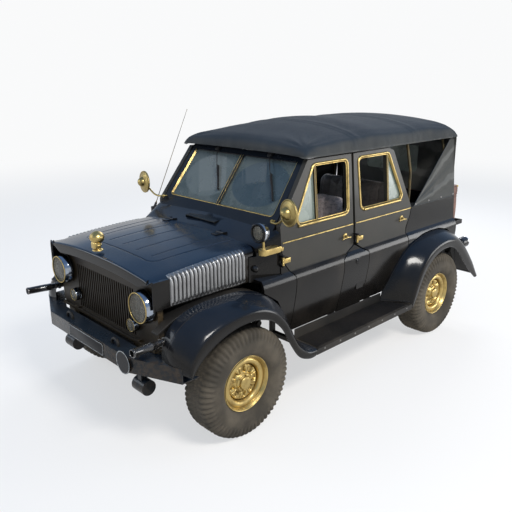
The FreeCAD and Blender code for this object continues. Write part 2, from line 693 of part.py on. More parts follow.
def panel(outline, thickness=DOOR_T):
    y0 = min(y for y, z in outline) - 5
    y1 = max(y for y, z in outline) + 5
    return side_wall(y0, y1, thickness).common(yz(outline, 500, 900))


def handle(y, z):
    """T handle on its short stem."""
    stem = rod(V(700, y, z), V(762, y, z), 8)
    bar = rod(V(762, y - 45, z), V(762, y + 45, z), 7)
    return [stem, bar]


HINGE_X = 757.0
FRONT_HINGE_Y = -730.0
REAR_HINGE_Y = 106.0
HINGE_Z = 1085.0
BARREL_R = 10.0
BARREL_H = 30.0
HINGE_PIN_R = 5.0
PIN_CLEARANCE = 0.06


def hinge(y, z):
    """Strap and bored barrel of the door's outside hinge."""
    barrel = rod(V(HINGE_X, y, z - BARREL_H), V(HINGE_X, y, z + BARREL_H), BARREL_R)
    strap = box(HINGE_X - 2, HINGE_X + 6, y, y + 70, z - 16, z + 16)
    pad = box(712, HINGE_X + 6, y + 22, y + 70, z - 16, z + 16)
    bore = rod(V(HINGE_X, y, z - 80), V(HINGE_X, y, z + 80), HINGE_PIN_R + PIN_CLEARANCE)
    return [fused([barrel, strap, pad]).cut(bore)]


def hinge_ears(y, root_x):
    """Fixed half of a door hinge: two ears on the post and the pin between them."""
    ears = [rod(V(HINGE_X, y, HINGE_Z - BARREL_H - 12), V(HINGE_X, y, HINGE_Z + BARREL_H + 12), HINGE_PIN_R)]
    for side in (-1, 1):
        z = HINGE_Z + side * (BARREL_H + 6 + SEAT_GAP)
        ears.append(box(root_x, HINGE_X, y - 6, y + 6, z - 6, z + 6))
        ears.append(rod(V(HINGE_X, y, z - 6), V(HINGE_X, y, z + 6), BARREL_R))
    return ears


def front_door():
    shape = panel(FRONT_DOOR)
    opening = yz(FRONT_WINDOW, 500, 900, 34)
    divider = panel([(FRONT_DIVIDER_Y - DIVIDER_W / 2, 1330), (FRONT_DIVIDER_Y + DIVIDER_W / 2, 1330),
                     (FRONT_DIVIDER_Y + DIVIDER_W / 2, 1710), (FRONT_DIVIDER_Y - DIVIDER_W / 2, 1710)])
    return fused([shape.cut(opening), divider] + handle(-10, 1122) + hinge(FRONT_HINGE_Y, HINGE_Z))


def rear_door():
    shape = panel(REAR_DOOR)
    opening = yz(REAR_WINDOW, 500, 900, 34)
    divider = panel([(REAR_DIVIDER_Y - DIVIDER_W / 2, 1330), (REAR_DIVIDER_Y + DIVIDER_W / 2, 1330),
                     (REAR_DIVIDER_Y + DIVIDER_W / 2, 1710), (REAR_DIVIDER_Y - DIVIDER_W / 2, 1710)])
    return fused([shape.cut(opening), divider] + handle(763, 1134) + hinge(REAR_HINGE_Y, HINGE_Z))


def quarter_glass(window, y0, y1):
    """Fixed pane in one corner of a door window, let into the middle of the frame."""
    face = (DOOR_T - GLASS_T) / 2
    glass = side_slab(face, 500, y0, y1).cut(side_slab(face + GLASS_T, 490, y0 - 1, y1 + 1))
    return glass.common(yz(window, 500, 900, 34))


def front_glass():
    return quarter_glass(FRONT_WINDOW, -600, FRONT_DIVIDER_Y - DIVIDER_W / 2)


def rear_glass():
    return quarter_glass(REAR_WINDOW, REAR_DIVIDER_Y + DIVIDER_W / 2, 740)


CAP_Y = 105.0
CAP_Z = 905.0
CAP_R = 24.0


def side_fittings():
    """Round cap over the tank's filler and the rectangular blind plate below it."""
    profile = [(-40, 0), (-40, CAP_R), (3, CAP_R), (7, CAP_R - 4), (7, 8), (10, 5), (10, 0)]
    cap = revolved(profile, V(771, CAP_Y, CAP_Z), V(1, 0, 0))
    plate = box(715, 747, CAP_Y + 30, CAP_Y + 120, 655, 705)
    return [cap, plate]


def body_sides():
    """Quarter panels behind the doors, the filler panels below the door posts, and the posts."""
    quarter = panel(QUARTER)
    filler = panel([(-57, SILL_Z), (-57, 946), (105, 1032), (257, 950), (257, SILL_Z)])
    post = xz([(622, FLOOR_Z + FLOOR_T), (664, FLOOR_Z + FLOOR_T), (676, 1000), (628, 1730), (608, 1730), (640, 1000)],
              70, 140)
    link = box(650, 730, 75, 135, 660, 900).common(side_slab(4, 400, 0, 200))
    pillar = fused([filler, post, link] + side_fittings() + hinge_ears(REAR_HINGE_Y, 650))
    corner = box(GATE_HALF + SHUT_GAP, 740, BODY_REAR - 36, BODY_REAR, 660, 1204).common(side_slab(4, 400, 1600, 1700))
    capping = box(622, 690, 945, BODY_REAR - 30, 1186, 1204)
    side = fused([quarter, corner, capping]).cut(wing(REAR_WING, WING_SEAT_X - 60))
    return Part.makeCompound([side, pillar, mirrored(side), mirrored(pillar)])


WINDSCREEN_LEAN = math.degrees(math.atan2(308, 401))
WINDSCREEN_SLOPE = 506.0
WINDSCREEN_T = 30.0


def leaned(shape):
    """Set a plate drawn upright at the origin onto the leaning windscreen plane."""
    shape.rotate(V(0, 0, 0), V(1, 0, 0), -WINDSCREEN_LEAN)
    shape.translate(V(0, -700, 1337))
    return shape


PANE_INNER_X = 14.0
PANE_LOW_X = 600.0
PANE_TOP_X = 580.0
PANE_LOW = 34.0
PANE_TOP = WINDSCREEN_SLOPE - 26.0
PANE_R = 24.0


def pane(side, start, thickness, clear):
    """Prism of one windscreen pane on the given side, drawn in by the clearance."""
    outline = [(side * (PANE_INNER_X + clear), PANE_LOW + clear), (side * (PANE_LOW_X - clear), PANE_LOW + clear),
               (side * (PANE_TOP_X - clear), PANE_TOP - clear), (side * (PANE_INNER_X + clear), PANE_TOP - clear)]
    return xz(outline[::side], start, start + thickness, PANE_R)


def windscreen_frame():
    outline = [(-662, -52), (662, -52), (632, WINDSCREEN_SLOPE + 22), (-632, WINDSCREEN_SLOPE + 22)]
    plate = xz(outline, 0, WINDSCREEN_T)
    panes = [pane(side, -1, WINDSCREEN_T + 2, 0) for side in (-1, 1)]
    foot = xz([(-662, -90), (662, -90), (662, -50), (-662, -50)], 0, WINDSCREEN_T)
    return leaned(fused([plate.cut(Part.makeCompound(panes)), foot])).cut(cowl())


def windscreen_glass():
    return Part.makeCompound([leaned(pane(side, 12, GLASS_T, SEAT_GAP)) for side in (-1, 1)])


def wipers():
    arms = []
    for x in (-300, 300):
        motor = box(x - 22, x + 22, -20, -SEAT_GAP, WINDSCREEN_SLOPE - 20, WINDSCREEN_SLOPE + 15)
        arm = rod(V(x, -10, WINDSCREEN_SLOPE - 10), V(x, -10, 120), 4)
        blade = box(x - 3, x + 3, -12, 10, 80, 330)
        arms.append(leaned(fused([motor, arm, blade])))
    return Part.makeCompound(arms)


# Roof stations along the car: y, height of the crown and height of the shoulder
ROOF = [(-452, 1772, 1764), (-400, 1838, 1800), (-300, 1886, 1828), (0, 1936, 1850), (250, 1964, 1858),
        (450, 1970, 1862), (780, 1958, 1852), (1100, 1964, 1860), (1360, 1955, 1856), (1540, 1926, 1842),
        (1630, 1880, 1820), (1664, 1812, 1790)]
EAVE_X = 694.0


def roof_section(y, crown, shoulder, shrink):
    """Closed roof section from eave to eave, open curve over the bows and a flat bottom."""
    half = EAVE_X - shrink
    drop = crown - shrink
    side = shoulder - shrink
    base = EAVE_Z - 30
    flank = [V(half, y, base), V(half - 4, y, (EAVE_Z + side) / 2), V(half - 22, y, side)]
    flank += [V(half * 0.80, y, side + (drop - side) * 0.42), V(half * 0.48, y, side + (drop - side) * 0.82)]
    over = flank + [V(0, y, drop)] + [V(-p.x, p.y, p.z) for p in reversed(flank)]
    return Part.Wire([spline(over), Part.makeLine(over[-1], over[0])])


def canvas_roof():
    """Canvas roof: one sheet over the bows, with its eaves and the rounded rear corner."""
    outer = loft([roof_section(y, crown, shoulder, 0) for y, crown, shoulder in ROOF])
    stations = [(ROOF[0][0] - 5, ROOF[0][1], ROOF[0][2])] + ROOF[1:-1]
    last = ROOF[-1]
    stations.append((last[0] - CANVAS_T, last[1], last[2]))
    inner = loft([roof_section(y, crown, shoulder, CANVAS_T) for y, crown, shoulder in stations])
    trim = box(-900, 900, -900, 2000, 1500, EAVE_Z)
    return outer.cut(inner).cut(trim).cut(windscreen_frame())


def canvas_curtains():
    """Rear curtain with its window opening, joined to the two triangular quarter flaps."""
    y = ROOF[-1][0] - CANVAS_T
    top = EAVE_Z - SEAT_GAP
    low = 1204 + SEAT_GAP
    curtain = xz([(-700, low), (700, low), (EAVE_X, top), (-EAVE_X, top)], y, y + CANVAS_T)
    window = xz([(-300, 1380), (300, 1380), (300, 1640), (-300, 1640)], y - 1, y + CANVAS_T + 1, 40)
    flap = yz([(955, low), (y + CANVAS_T, low), (y + CANVAS_T, top), (1600, top)], 660, 740)
    flap = flap.common(side_wall(900, 1700, CANVAS_T))
    return fused([curtain.cut(window), flap, mirrored(flap)])


BOW_R = 12.0


def hood_bows():
    bows = []
    for y, crown, foot in ((160, 1918, FLOOR_Z + FLOOR_T), (960, 1920, 1204.5), (1560, 1892, 1204.5)):
        foot_x = 600 if foot < 1000 else 660
        path = [V(-foot_x, y, foot), V(-foot_x, y, 1500), V(-590, y, crown - 88), V(-400, y, crown - 24), V(0, y, crown)]
        path += [V(-p.x, p.y, p.z) for p in reversed(path[:-1])]
        bows.append(pipe(path, BOW_R, 110))
    return Part.makeCompound(bows)


def bumper_plan(front_y, depth):
    ends_y = front_y + 150
    line = [(-872, ends_y), (-520, front_y), (520, front_y), (872, ends_y)]
    back = [(x, y + depth) for x, y in reversed(line)]
    return line + back


BUMPER_Y = -1852.0
BUMPER_Z0 = 566.0
BUMPER_Z1 = 666.0
BUMPER_T = 7.0


def front_bumper():
    """Channel bumper with swept ends, two loops on its top flange and the spring drums below."""
    outer = xy(bumper_plan(BUMPER_Y, 128), BUMPER_Z0, BUMPER_Z1)
    inner = xy(bumper_plan(BUMPER_Y + BUMPER_T, 140), BUMPER_Z0 + BUMPER_T, BUMPER_Z1 - BUMPER_T)
    shapes = [outer.cut(inner)]
    for side in (-1, 1):
        x = side * 305
        path = [V(x - 34, BUMPER_Y + 48, BUMPER_Z1 - 2), V(x - 34, BUMPER_Y + 48, BUMPER_Z1 + 44)]
        path += [V(x + 34, BUMPER_Y + 48, BUMPER_Z1 + 44), V(x + 34, BUMPER_Y + 48, BUMPER_Z1 - 2)]
        shapes.append(pipe(path, 7, 28))
        shapes.append(box(side * RAIL_X - 30, side * RAIL_X + 30, BUMPER_Y + 2, RAIL_FRONT - SEAT_GAP, 572, 660))
        drum = rod(V(side * 400, -1712, 404), V(side * 522, -1712, 404), 52)
        strap = box(min(side * 440, side * 482), max(side * 440, side * 482), -1740, -1700, 440, BUMPER_Z0 + 2)
        shapes += [drum, strap, box(min(side * 440, side * 482), max(side * 440, side * 482), -1760, -1700, 560, 574)]
    return fused(shapes).cut(Part.makeCompound([frame_rails(), leaf_springs()]))


BLADE_Z1 = 586.0


def rear_bumpers():
    blade = xy([(470, 1930), (760, 1890), (760, 1880), (470, 1918)], BLADE_Z1 - 92, BLADE_Z1)
    y = HORN_REAR + SEAT_GAP
    arm = xy([(RAIL_X - 28, y), (RAIL_X + 28, y), (575, 1908), (505, 1916)], HORN_Z1 - 40, HORN_Z1)
    return fused([blade, arm])


def bumpers():
    front = front_bumper()
    rear = rear_bumpers()
    return Part.makeCompound([front, rear, mirrored(rear)])


def front_tubes():
    """Stepped tubes that point forward beside the grille, each on its bracket."""
    root = V(690, -1650, 782)
    tip = V(712, -1930, 790)
    way = (tip - root).normalize()
    shapes = [rod(root, root + way * 110, 20), rod(root + way * 30, root + way * 44, 27)]
    shapes += [rod(root + way * 100, tip, 26), rod(root + way * 64, root + way * 76, 25)]
    bore = rod(tip - way * 60, tip + way * 5, 19)
    return both(fused(shapes).cut(bore).cut(inner_wings()).cut(front_wings()))


LAMP_X = 519.0
LAMP_Y = -1758.0
LAMP_Z = 965.0
LAMP_R = 106.0
SIDE_LAMP_X = 379.0
SIDE_LAMP_Z = 800.0
SIDE_LAMP_R = 48.0
SIDE_LAMP_Y = -1730.0
BEZEL_IN = 15.8


def lamp_shell(x, z, radius, front_y, back_y):
    """Bowl of a lamp with a rolled bezel and an open front."""
    depth = back_y - front_y
    profile = [(0, radius - 14), (0, radius - 4), (8, radius), (26, radius), (34, radius - 8), (depth, radius * 0.8),
               (depth, 0), (depth - 8, 0), (depth - 8, radius * 0.8 - 8), (30, radius - 16)]
    return revolved(profile, V(x, front_y, z), V(0, 1, 0))


def lamps():
    head = lamp_shell(LAMP_X, LAMP_Z, LAMP_R, LAMP_Y, GRILLE_Y - SEAT_GAP)
    small = lamp_shell(SIDE_LAMP_X, SIDE_LAMP_Z, SIDE_LAMP_R, SIDE_LAMP_Y, GRILLE_Y - SEAT_GAP)
    tail = rod(V(828, 1612, 800), V(828, 1700, 800), 52)
    tail = max(tail.cut(rear_wings()).Solids, key=lambda solid: solid.CenterOfMass.y)
    return Part.makeCompound([head, mirrored(head), small, mirrored(small), tail, mirrored(tail)])


def lens(x, z, radius, front_y, dome):
    profile = [(14, 0), (14, radius), (4, radius), (-dome * 0.5, radius * 0.7), (-dome, 0)]
    return revolved(profile, V(x, front_y, z), V(0, 1, 0))


def lamp_glass():
    head = lens(LAMP_X, LAMP_Z, LAMP_R - BEZEL_IN, LAMP_Y + 10, 14)
    small = lens(SIDE_LAMP_X, SIDE_LAMP_Z, SIDE_LAMP_R - BEZEL_IN, SIDE_LAMP_Y + 10, 10)
    return Part.makeCompound([head, mirrored(head), small, mirrored(small)])


def spotlight():
    """Round spotlight on the brass bracket at the left end of the cowl."""
    bowl = revolved([(0, 50), (0, 62), (12, 66), (30, 66), (60, 52), (84, 22), (84, 0), (8, 0), (8, 50)],
                    V(758, -975, 1330), V(0, 1, 0))
    stem = rod(V(758, -925, 1278), V(752, -915, 1200), 9)
    shape = fused([bowl, stem, box(700, 764, -930, -760, 1176, 1202)])
    return shape.cut(cowl())


def mirrors():
    """Round dished mirrors with a domed boss on bent arms from the windscreen pillars."""
    centre = V(843, -772, 1446)
    way = V(0.25, -1, 0.05).normalize()
    dish = Part.makeCone(92, 60, 26, centre, way)
    boss = Part.makeSphere(38, centre + way * 24)
    glass = Part.makeCylinder(92, 8, centre - way * 8, way)
    arm = pipe([centre, V(772, -762, 1384), V(700, -748, 1346), V(648, -738, 1345), V(636, -690, 1345)], 8, 16)
    return both(fused([dish, boss, glass, arm]).cut(windscreen_frame()))


def antenna():
    base = V(-735, -752, 1250)
    tip = V(-735, -372, 2034)
    mount = box(-744, -706, -790, -735, 1200, 1252)
    return fused([rod(base, tip, 3), rod(base - V(0, 6, 12), base + (tip - base) * 0.05, 9), mount]).cut(cowl())


# Seats: cushions on box frames, with backs that lean
SEAT_X = 350.0
SEAT_HALF = 225.0
SEAT_Y0 = -330.0
SEAT_Y1 = 103.0
BENCH_HALF = 490.0
BENCH_Y0 = 560.0
BENCH_Y1 = 984.0
CUSHION_Z0 = 850.0
CUSHION_Z1 = 985.0
BACK_T = 110.0
BACK_Z0 = 862.0
SEAT_TOP = 1490.0
BENCH_TOP = 1400.0
BACK_LEAN = 8.0
PAD_EDGE_R = 22.0
# The backs lean, so their rounded lower edge comes this far in to rest on the cushions
BACK_IN = 2.5


def seat_pad(x0, x1, y0, y1, z0, z1, lean):
    pad = box(x0, x1, y0, y1, z0, z1)
    pad = pad.makeFillet(PAD_EDGE_R, pad.Edges)
    if lean:
        pad.rotate(V((x0 + x1) / 2, y0, z0), V(1, 0, 0), -lean)
    return pad


def seat(x, half, y0, y1, top):
    """Cushion and leaning back of one seat."""
    cushion = seat_pad(x - half, x + half, y0, y1, CUSHION_Z0, CUSHION_Z1, 0)
    back = seat_pad(x - half + 5, x + half - 5, y1 - BACK_IN, y1 + BACK_T, BACK_Z0, top, BACK_LEAN)
    return [cushion, back]


def front_seats():
    return Part.makeCompound(seat(-SEAT_X, SEAT_HALF, SEAT_Y0, SEAT_Y1, SEAT_TOP)
                             + seat(SEAT_X, SEAT_HALF, SEAT_Y0, SEAT_Y1, SEAT_TOP))


def rear_bench():
    return Part.makeCompound(seat(0, BENCH_HALF, BENCH_Y0, BENCH_Y1, BENCH_TOP))


def seat_frames():
    shapes = []
    low = FLOOR_Z + FLOOR_T + SEAT_GAP
    high = CUSHION_Z0 - SEAT_GAP
    for x in (-SEAT_X, SEAT_X):
        shapes.append(box(x - SEAT_HALF + 10, x + SEAT_HALF - 10, SEAT_Y0 + 20, SEAT_Y1 + 27, low, high))
    shapes.append(box(-BENCH_HALF + 20, BENCH_HALF - 20, BENCH_Y0 + 30, BENCH_Y1 + 6, low, high))
    tunnel = box(-181, 181, -400, -190, 640, 800)
    return Part.makeCompound([shape.cut(tunnel) for shape in shapes])


STEERING_CENTRE = V(365, -340, 1250)
STEERING_FOOT = V(365, -648, 1120)
STEERING_R = 195.0
STEERING_GRIP_R = 12.0
COLUMN_R = 20.0


def steering_wheel():
    """Three-spoke wheel on its column, which enters the dashboard."""
    centre = STEERING_CENTRE
    axis = (centre - STEERING_FOOT).normalize()
    ring = Part.makeTorus(STEERING_R, STEERING_GRIP_R, centre, axis)
    column = rod(STEERING_FOOT, centre, COLUMN_R)
    across = V(1, 0, 0) * STEERING_R
    up = axis.cross(V(1, 0, 0)) * STEERING_R
    spokes = [rod(centre - across, centre + across, 9), rod(centre, centre - up, 9)]
    return fused([ring, column] + spokes).cut(cowl())


# Bonnet
BONNET_STATIONS = [(BONNET_FRONT, 1146, 1186), (-1500, 1172, 1212), (-1200, 1192, 1228),
                   (BONNET_REAR - SHUT_GAP, 1200, 1236)]


def bonnet_section(y, edge, crown, shrink):
    half = SKIRT_X - shrink
    flank = [V(half, y, SKIRT_Z - 40), V(half, y, edge - 60), V(half - 10, y, edge - 22), V(half - 44, y, edge - shrink)]
    flank += [V(half * 0.5, y, edge + (crown - edge) * 0.78 - shrink)]
    over = flank + [V(0, y, crown - shrink)] + [V(-p.x, p.y, p.z) for p in reversed(flank)]
    return Part.Wire([spline(over[1:-1]), Part.makeLine(over[-2], over[-1]), Part.makeLine(over[-1], over[0]),
                      Part.makeLine(over[0], over[1])])


LOUVRE_Y0 = -1605.0
LOUVRE_Y1 = -985.0
LOUVRE_Z0 = 974.0
LOUVRE_TOP_X = 606.0
LOUVRE_FOOT_FRONT = 1018.0
LOUVRE_FOOT_REAR = 984.0
LOUVRE_COUNT = 20
# Section of one louvre: share of the pitch along the car and height above the skin of the bonnet
LOUVRE_HOOD = [(-0.42, -4.5), (-0.25, 6), (0.0, 10), (0.25, 8), (0.42, -4.5)]
LOUVRE_SKIN = 4.0
LOUVRE_PANEL_T = 6.0
GROOVE_D = 3.0
GROOVE_W = 5.0
GROOVE_PITCH = 170.0


def bonnet_loft(front, rear, shrink):
    """Bonnet form between two ends, drawn in by the shrink."""
    stations = list(BONNET_STATIONS)
    stations[0] = (front,) + stations[0][1:]
    stations[-1] = (rear,) + stations[-1][1:]
    return loft([bonnet_section(y, edge, crown, shrink) for y, edge, crown in stations])


def bonnet_grooves(outer):
    """Pressed grooves in the lid: an outline with round front corners and five straight lines."""
    skin = outer.cut(bonnet_loft(BONNET_FRONT - 1, BONNET_REAR, GROOVE_D))
    corners = [(-433, -1577), (433, -1577), (462, -700), (-462, -700)]
    inside = [(-433 + GROOVE_W, -1577 + GROOVE_W), (433 - GROOVE_W, -1577 + GROOVE_W),
              (462 - GROOVE_W, -700), (-462 + GROOVE_W, -700)]
    outline = xy(corners, 1100, 1300, 70).cut(xy(inside, 1090, 1310, 70 - GROOVE_W))
    lines = [box(i * GROOVE_PITCH - GROOVE_W / 2, i * GROOVE_PITCH + GROOVE_W / 2, -1530, -1040, 1100, 1300)
             for i in range(-2, 3)]
    return skin.common(Part.makeCompound([outline] + lines))


def louvre_openings():
    """Openings over both shoulders of the bonnet that take the louvre panels."""
    return both(box(LOUVRE_TOP_X, SKIRT_X + 40, LOUVRE_Y0, LOUVRE_Y1, LOUVRE_Z0, 1300))


def bonnet():
    """Bonnet: crowned top with pressed grooves, rounded shoulders, side skirts and turned-down front lip."""
    outer = bonnet_loft(BONNET_FRONT, BONNET_REAR - SHUT_GAP, 0)
    shell = outer.cut(bonnet_loft(BONNET_FRONT + BONNET_T, BONNET_REAR, BONNET_T)).cut(bonnet_grooves(outer))
    below = box(-700, 700, -1900, -800, 800, SKIRT_Z)
    bite = box(-700, 700, -1760, -1690, 900, 1094)
    step = box(-700, 700, COWL_FRONT - SHUT_GAP, BONNET_REAR + 5, 900, SKIRT_STEP_Z)
    shell = shell.cut([below, bite, step] + louvre_openings().Solids)
    return fused([shell] + bonnet_barrels())


def edge_height(y):
    """Height of the bonnet's shoulder at y, between its stations."""
    for (y0, low, _), (y1, high, _) in zip(BONNET_STATIONS, BONNET_STATIONS[1:]):
        if y <= y1:
            return low + (high - low) * (y - y0) / (y1 - y0)
    return BONNET_STATIONS[-1][1]


def louvre_section(y, foot, top_x, face, back):
    """Closed line in the plane y along the skirt and shoulder, between two heights above the skin."""
    edge = edge_height(y)
    lines = []
    for rise in (face, back):
        lines.append([(SKIRT_X + rise, foot), (SKIRT_X + rise, edge - 60),
                      (SKIRT_X - 10 + rise * 0.9, edge - 22 + rise * 0.4), (top_x, edge - 1 + rise)])
    return polygon([V(x, y, z) for x, z in lines[0] + lines[1][::-1]])


def louvre(i):
    """One half-round louvre, which climbs the skirt and bends over the shoulder of the bonnet."""
    pitch = (LOUVRE_Y1 - LOUVRE_Y0 - 12) / LOUVRE_COUNT
    y = LOUVRE_Y0 + 6 + (i + 0.5) * pitch
    foot = LOUVRE_FOOT_FRONT + (LOUVRE_FOOT_REAR - LOUVRE_FOOT_FRONT) * (i + 0.5) / LOUVRE_COUNT
    root = -LOUVRE_SKIN - LOUVRE_PANEL_T / 2
    wires = [louvre_section(y + along * pitch, foot, LOUVRE_TOP_X + 7, rise, root) for along, rise in LOUVRE_HOOD]
    return Part.makeLoft(wires, True, True)


def bonnet_louvres():
    """Bare metal panels let into both shoulders of the bonnet, each with its row of louvres."""
    stations = [LOUVRE_Y0 + SEAT_GAP] + [y for y, _, _ in BONNET_STATIONS[1:-1]] + [LOUVRE_Y1 - SEAT_GAP]
    wires = [louvre_section(y, LOUVRE_Z0 + SEAT_GAP, LOUVRE_TOP_X + SEAT_GAP, -LOUVRE_SKIN,
                            -LOUVRE_SKIN - LOUVRE_PANEL_T) for y in stations]
    panel_sheet = Part.makeLoft(wires, True, True)
    return both(fused([panel_sheet] + [louvre(i) for i in range(LOUVRE_COUNT)]))


def bonnet_ornament():
    """Small brass ornament on its post at the front of the bonnet."""
    post = rod(V(0, -1700, 1184), V(0, -1700, 1260), 14)
    head = Part.makeSphere(48, V(0, -1702, 1298))
    jaw = box(-26, 26, -1742, -1690, 1222, 1272)
    return fused([post, head, jaw]).cut(bonnet())


# Rear gate, shelf and trunk
GATE_HALF = 612.0
GATE_Z0 = 600.0
SHELF_Y = 1667.0
SHELF_REAR = 1915.0
SHELF_HALF = 700.0
SHELF_Z0 = 884.0
SHELF_RIM = 42.0
SHELF_T = 8.0
TRUNK_HALF = 600.0
TRUNK_TOP = 1240.0
TRUNK_EDGE_R = 16.0


def tailgate():
    slab = box(-GATE_HALF, GATE_HALF, BODY_REAR - 34, BODY_REAR, GATE_Z0 + 8, 1196)
    start = V(-GATE_BARREL_X, GATE_HINGE_Y, GATE_HINGE_Z)
    end = V(GATE_BARREL_X, GATE_HINGE_Y, GATE_HINGE_Z)
    leaf = box(-GATE_BARREL_X, GATE_BARREL_X, BODY_REAR - 20, GATE_HINGE_Y, GATE_HINGE_Z, GATE_HINGE_Z + 16)
    bore = rod(start - V(10, 0, 0), end + V(10, 0, 0), HINGE_PIN_R + PIN_CLEARANCE)
    return fused([slab, rod(start, end, BARREL_R), leaf]).cut(bore)


def luggage_shelf():
    """Shallow tray with turned-up rim on two brackets, carried by the gate."""
    inside = SHELF_HALF - SHELF_T
    well = box(-inside, inside, SHELF_Y + SHELF_T, SHELF_REAR - SHELF_T, SHELF_Z0 + SHELF_T, SHELF_Z0 + SHELF_RIM + 1)
    tray = box(-SHELF_HALF, SHELF_HALF, SHELF_Y, SHELF_REAR, SHELF_Z0, SHELF_Z0 + SHELF_RIM).cut(well)
    root = BODY_REAR + SEAT_GAP
    foot = []
    for x in (-300, 300):
        outline = [(root, 760), (SHELF_Y + 20, 760), (SHELF_REAR - 35, SHELF_Z0), (root, SHELF_Z0)]
        foot.append(yz(outline, x - 10, x + 10))
        foot.append(box(x - 60, x + 60, root, SHELF_Y + 4, SHELF_Z0, SHELF_Z0 + SHELF_RIM))
    return fused([tray] + foot)


def trunk():
    """Leather travelling trunk standing in the tray."""
    case = box(-TRUNK_HALF, TRUNK_HALF, SHELF_Y + 10, SHELF_REAR - 29, SHELF_Z0 + SHELF_T + SEAT_GAP, TRUNK_TOP)
    return case.makeFillet(TRUNK_EDGE_R, case.Edges)


def tyre(x, y):
    """Hollow tyre: beads on the rim, bulged walls and a flat tread."""
    half = TYRE_W / 2
    outside = [(81, BEAD_R + SEAT_GAP), (84, 195), (100, 208), (half, 268), (half - 2, 300), (104, 350), (92, 366)]
    outside.append((60, TYRE_R))
    inside = [(70, BEAD_R + SEAT_GAP), (90, 262), (60, 330)]
    profile = [(-along, radius) for along, radius in outside] + outside[::-1]
    profile += inside + [(-along, radius) for along, radius in inside[::-1]]
    return revolved(profile, V(x, y, AXLE_Z), V(1, 0, 0))


WHEEL_SECTORS = 8
HAND_HOLE_R = 16.0
HAND_HOLE_AT = 93.0
RIB_W = 9.0
RIB_R0 = 79.0
RIB_R1 = 107.0
# Face of the pressed wheel from the rim's well to the hub cap, and the back of the same sheet
WHEEL_FACE = [(58, 176), (67, 171), (74, 156), (69, 137), (54, 129), (40, 126), (47, 120), (50, 112), (49, 74),
              (60, 62), (63, 52), (66, 47), (77, 45), (83, 38), (88, 14), (88, 0)]
WHEEL_BACK = [(-40, 60), (40, 60), (42, 74), (43, 111), (38, 117), (33, 121), (33, 131), (49, 135), (62, 142),
              (66, 156), (60, 166), (50, 170)]


def around(shape, centre, degrees):
    turned = shape.copy()
    turned.rotate(centre, V(1, 0, 0), degrees)
    return turned


def rim(x, y):
    """Steel wheel: barrel with two flanges, pressed face with ribs and hand holes, hub and brake drum."""
    well = BEAD_R - 16
    barrel = [(-92, RIM_FLANGE_R), (-86, RIM_FLANGE_R), (-82, BEAD_R), (-50, BEAD_R), (-36, well), (40, well)]
    barrel += [(54, BEAD_R), (82, BEAD_R), (86, RIM_FLANGE_R), (92, RIM_FLANGE_R)]
    barrel += [(88, BEAD_R - RIM_WALL), (50, BEAD_R - RIM_WALL), (40, well - RIM_WALL), (-36, well - RIM_WALL)]
    barrel += [(-50, BEAD_R - RIM_WALL), (-88, BEAD_R - RIM_WALL)]
    bore = SPINDLE_R + STEER_GAP
    dish = WHEEL_FACE + [(52, 0), (52, bore), (-40, bore)] + WHEEL_BACK
    drum = [(-70, 140), (-70, 146), (-10, 146), (-10, 55), (-16, 55), (-16, 140)]
    centre = V(x, y, AXLE_Z)
    shapes = [revolved(profile, centre, V(1, 0, 0)) for profile in (barrel, dish, drum)]
    rib = box(x + 47, x + 55, y - RIB_W / 2, y + RIB_W / 2, AXLE_Z + RIB_R0, AXLE_Z + RIB_R1)
    hole = rod(V(x + 36, y, AXLE_Z + HAND_HOLE_AT), V(x + 60, y, AXLE_Z + HAND_HOLE_AT), HAND_HOLE_R)
    step = 360 / WHEEL_SECTORS
    holes = [around(hole, centre, i * step) for i in range(WHEEL_SECTORS)]
    ribs = [around(rib, centre, (i + share) * step) for i in range(WHEEL_SECTORS) for share in (0.37, 0.63)]
    return fused(shapes + ribs).cut(holes)


def other_side(shape, y):
    """The same wheel or tyre turned round, to stand at the other end of the axle at y."""
    turned = shape.copy()
    turned.rotate(V(0, y, 0), V(0, 0, 1), 180)
    return turned


def place_wheels():
    for end, y in (("front", FRONT_AXLE_Y), ("rear", REAR_AXLE_Y)):
        left_tyre = tyre(WHEEL_X, y)
        left_rim = rim(WHEEL_X, y)
        parts["tyre_%s_left" % end] = left_tyre
        parts["tyre_%s_right" % end] = other_side(left_tyre, y)
        parts["rim_%s_left" % end] = left_rim
        parts["rim_%s_right" % end] = other_side(left_rim, y)


def place_doors():
    for end, door, glass in (("front", front_door(), front_glass()), ("rear", rear_door(), rear_glass())):
        parts["door_%s_left" % end] = door
        parts["door_%s_right" % end] = mirrored(door)
        parts["quarter_glass_%s_left" % end] = glass
        parts["quarter_glass_%s_right" % end] = mirrored(glass)


for build in (frame_rails, front_axle, rear_axle, leaf_springs, drivetrain, engine, exhaust, fuel_tanks, floor_pan,
              cowl, grille_panel, inner_wings, front_wings, rear_wings, running_boards, body_sides,
              windscreen_frame, windscreen_glass, wipers, canvas_roof, canvas_curtains, hood_bows, bumpers,
              front_tubes, lamps, lamp_glass, spotlight, mirrors, antenna, front_seats, rear_bench, seat_frames,
              steering_wheel, bonnet, bonnet_louvres, bonnet_ornament, tailgate, luggage_shelf, trunk):
    parts[build.__name__] = build()
parts["knuckle_left"] = knuckle()
parts["knuckle_right"] = mirrored(knuckle())
place_doors()
place_wheels()

os.makedirs("parts", exist_ok=True)
for name, shape in parts.items():
    shape.exportStep("parts/%s.step" % name)
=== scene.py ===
# A soft-top army 4x4 car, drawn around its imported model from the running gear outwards.
import json
import math

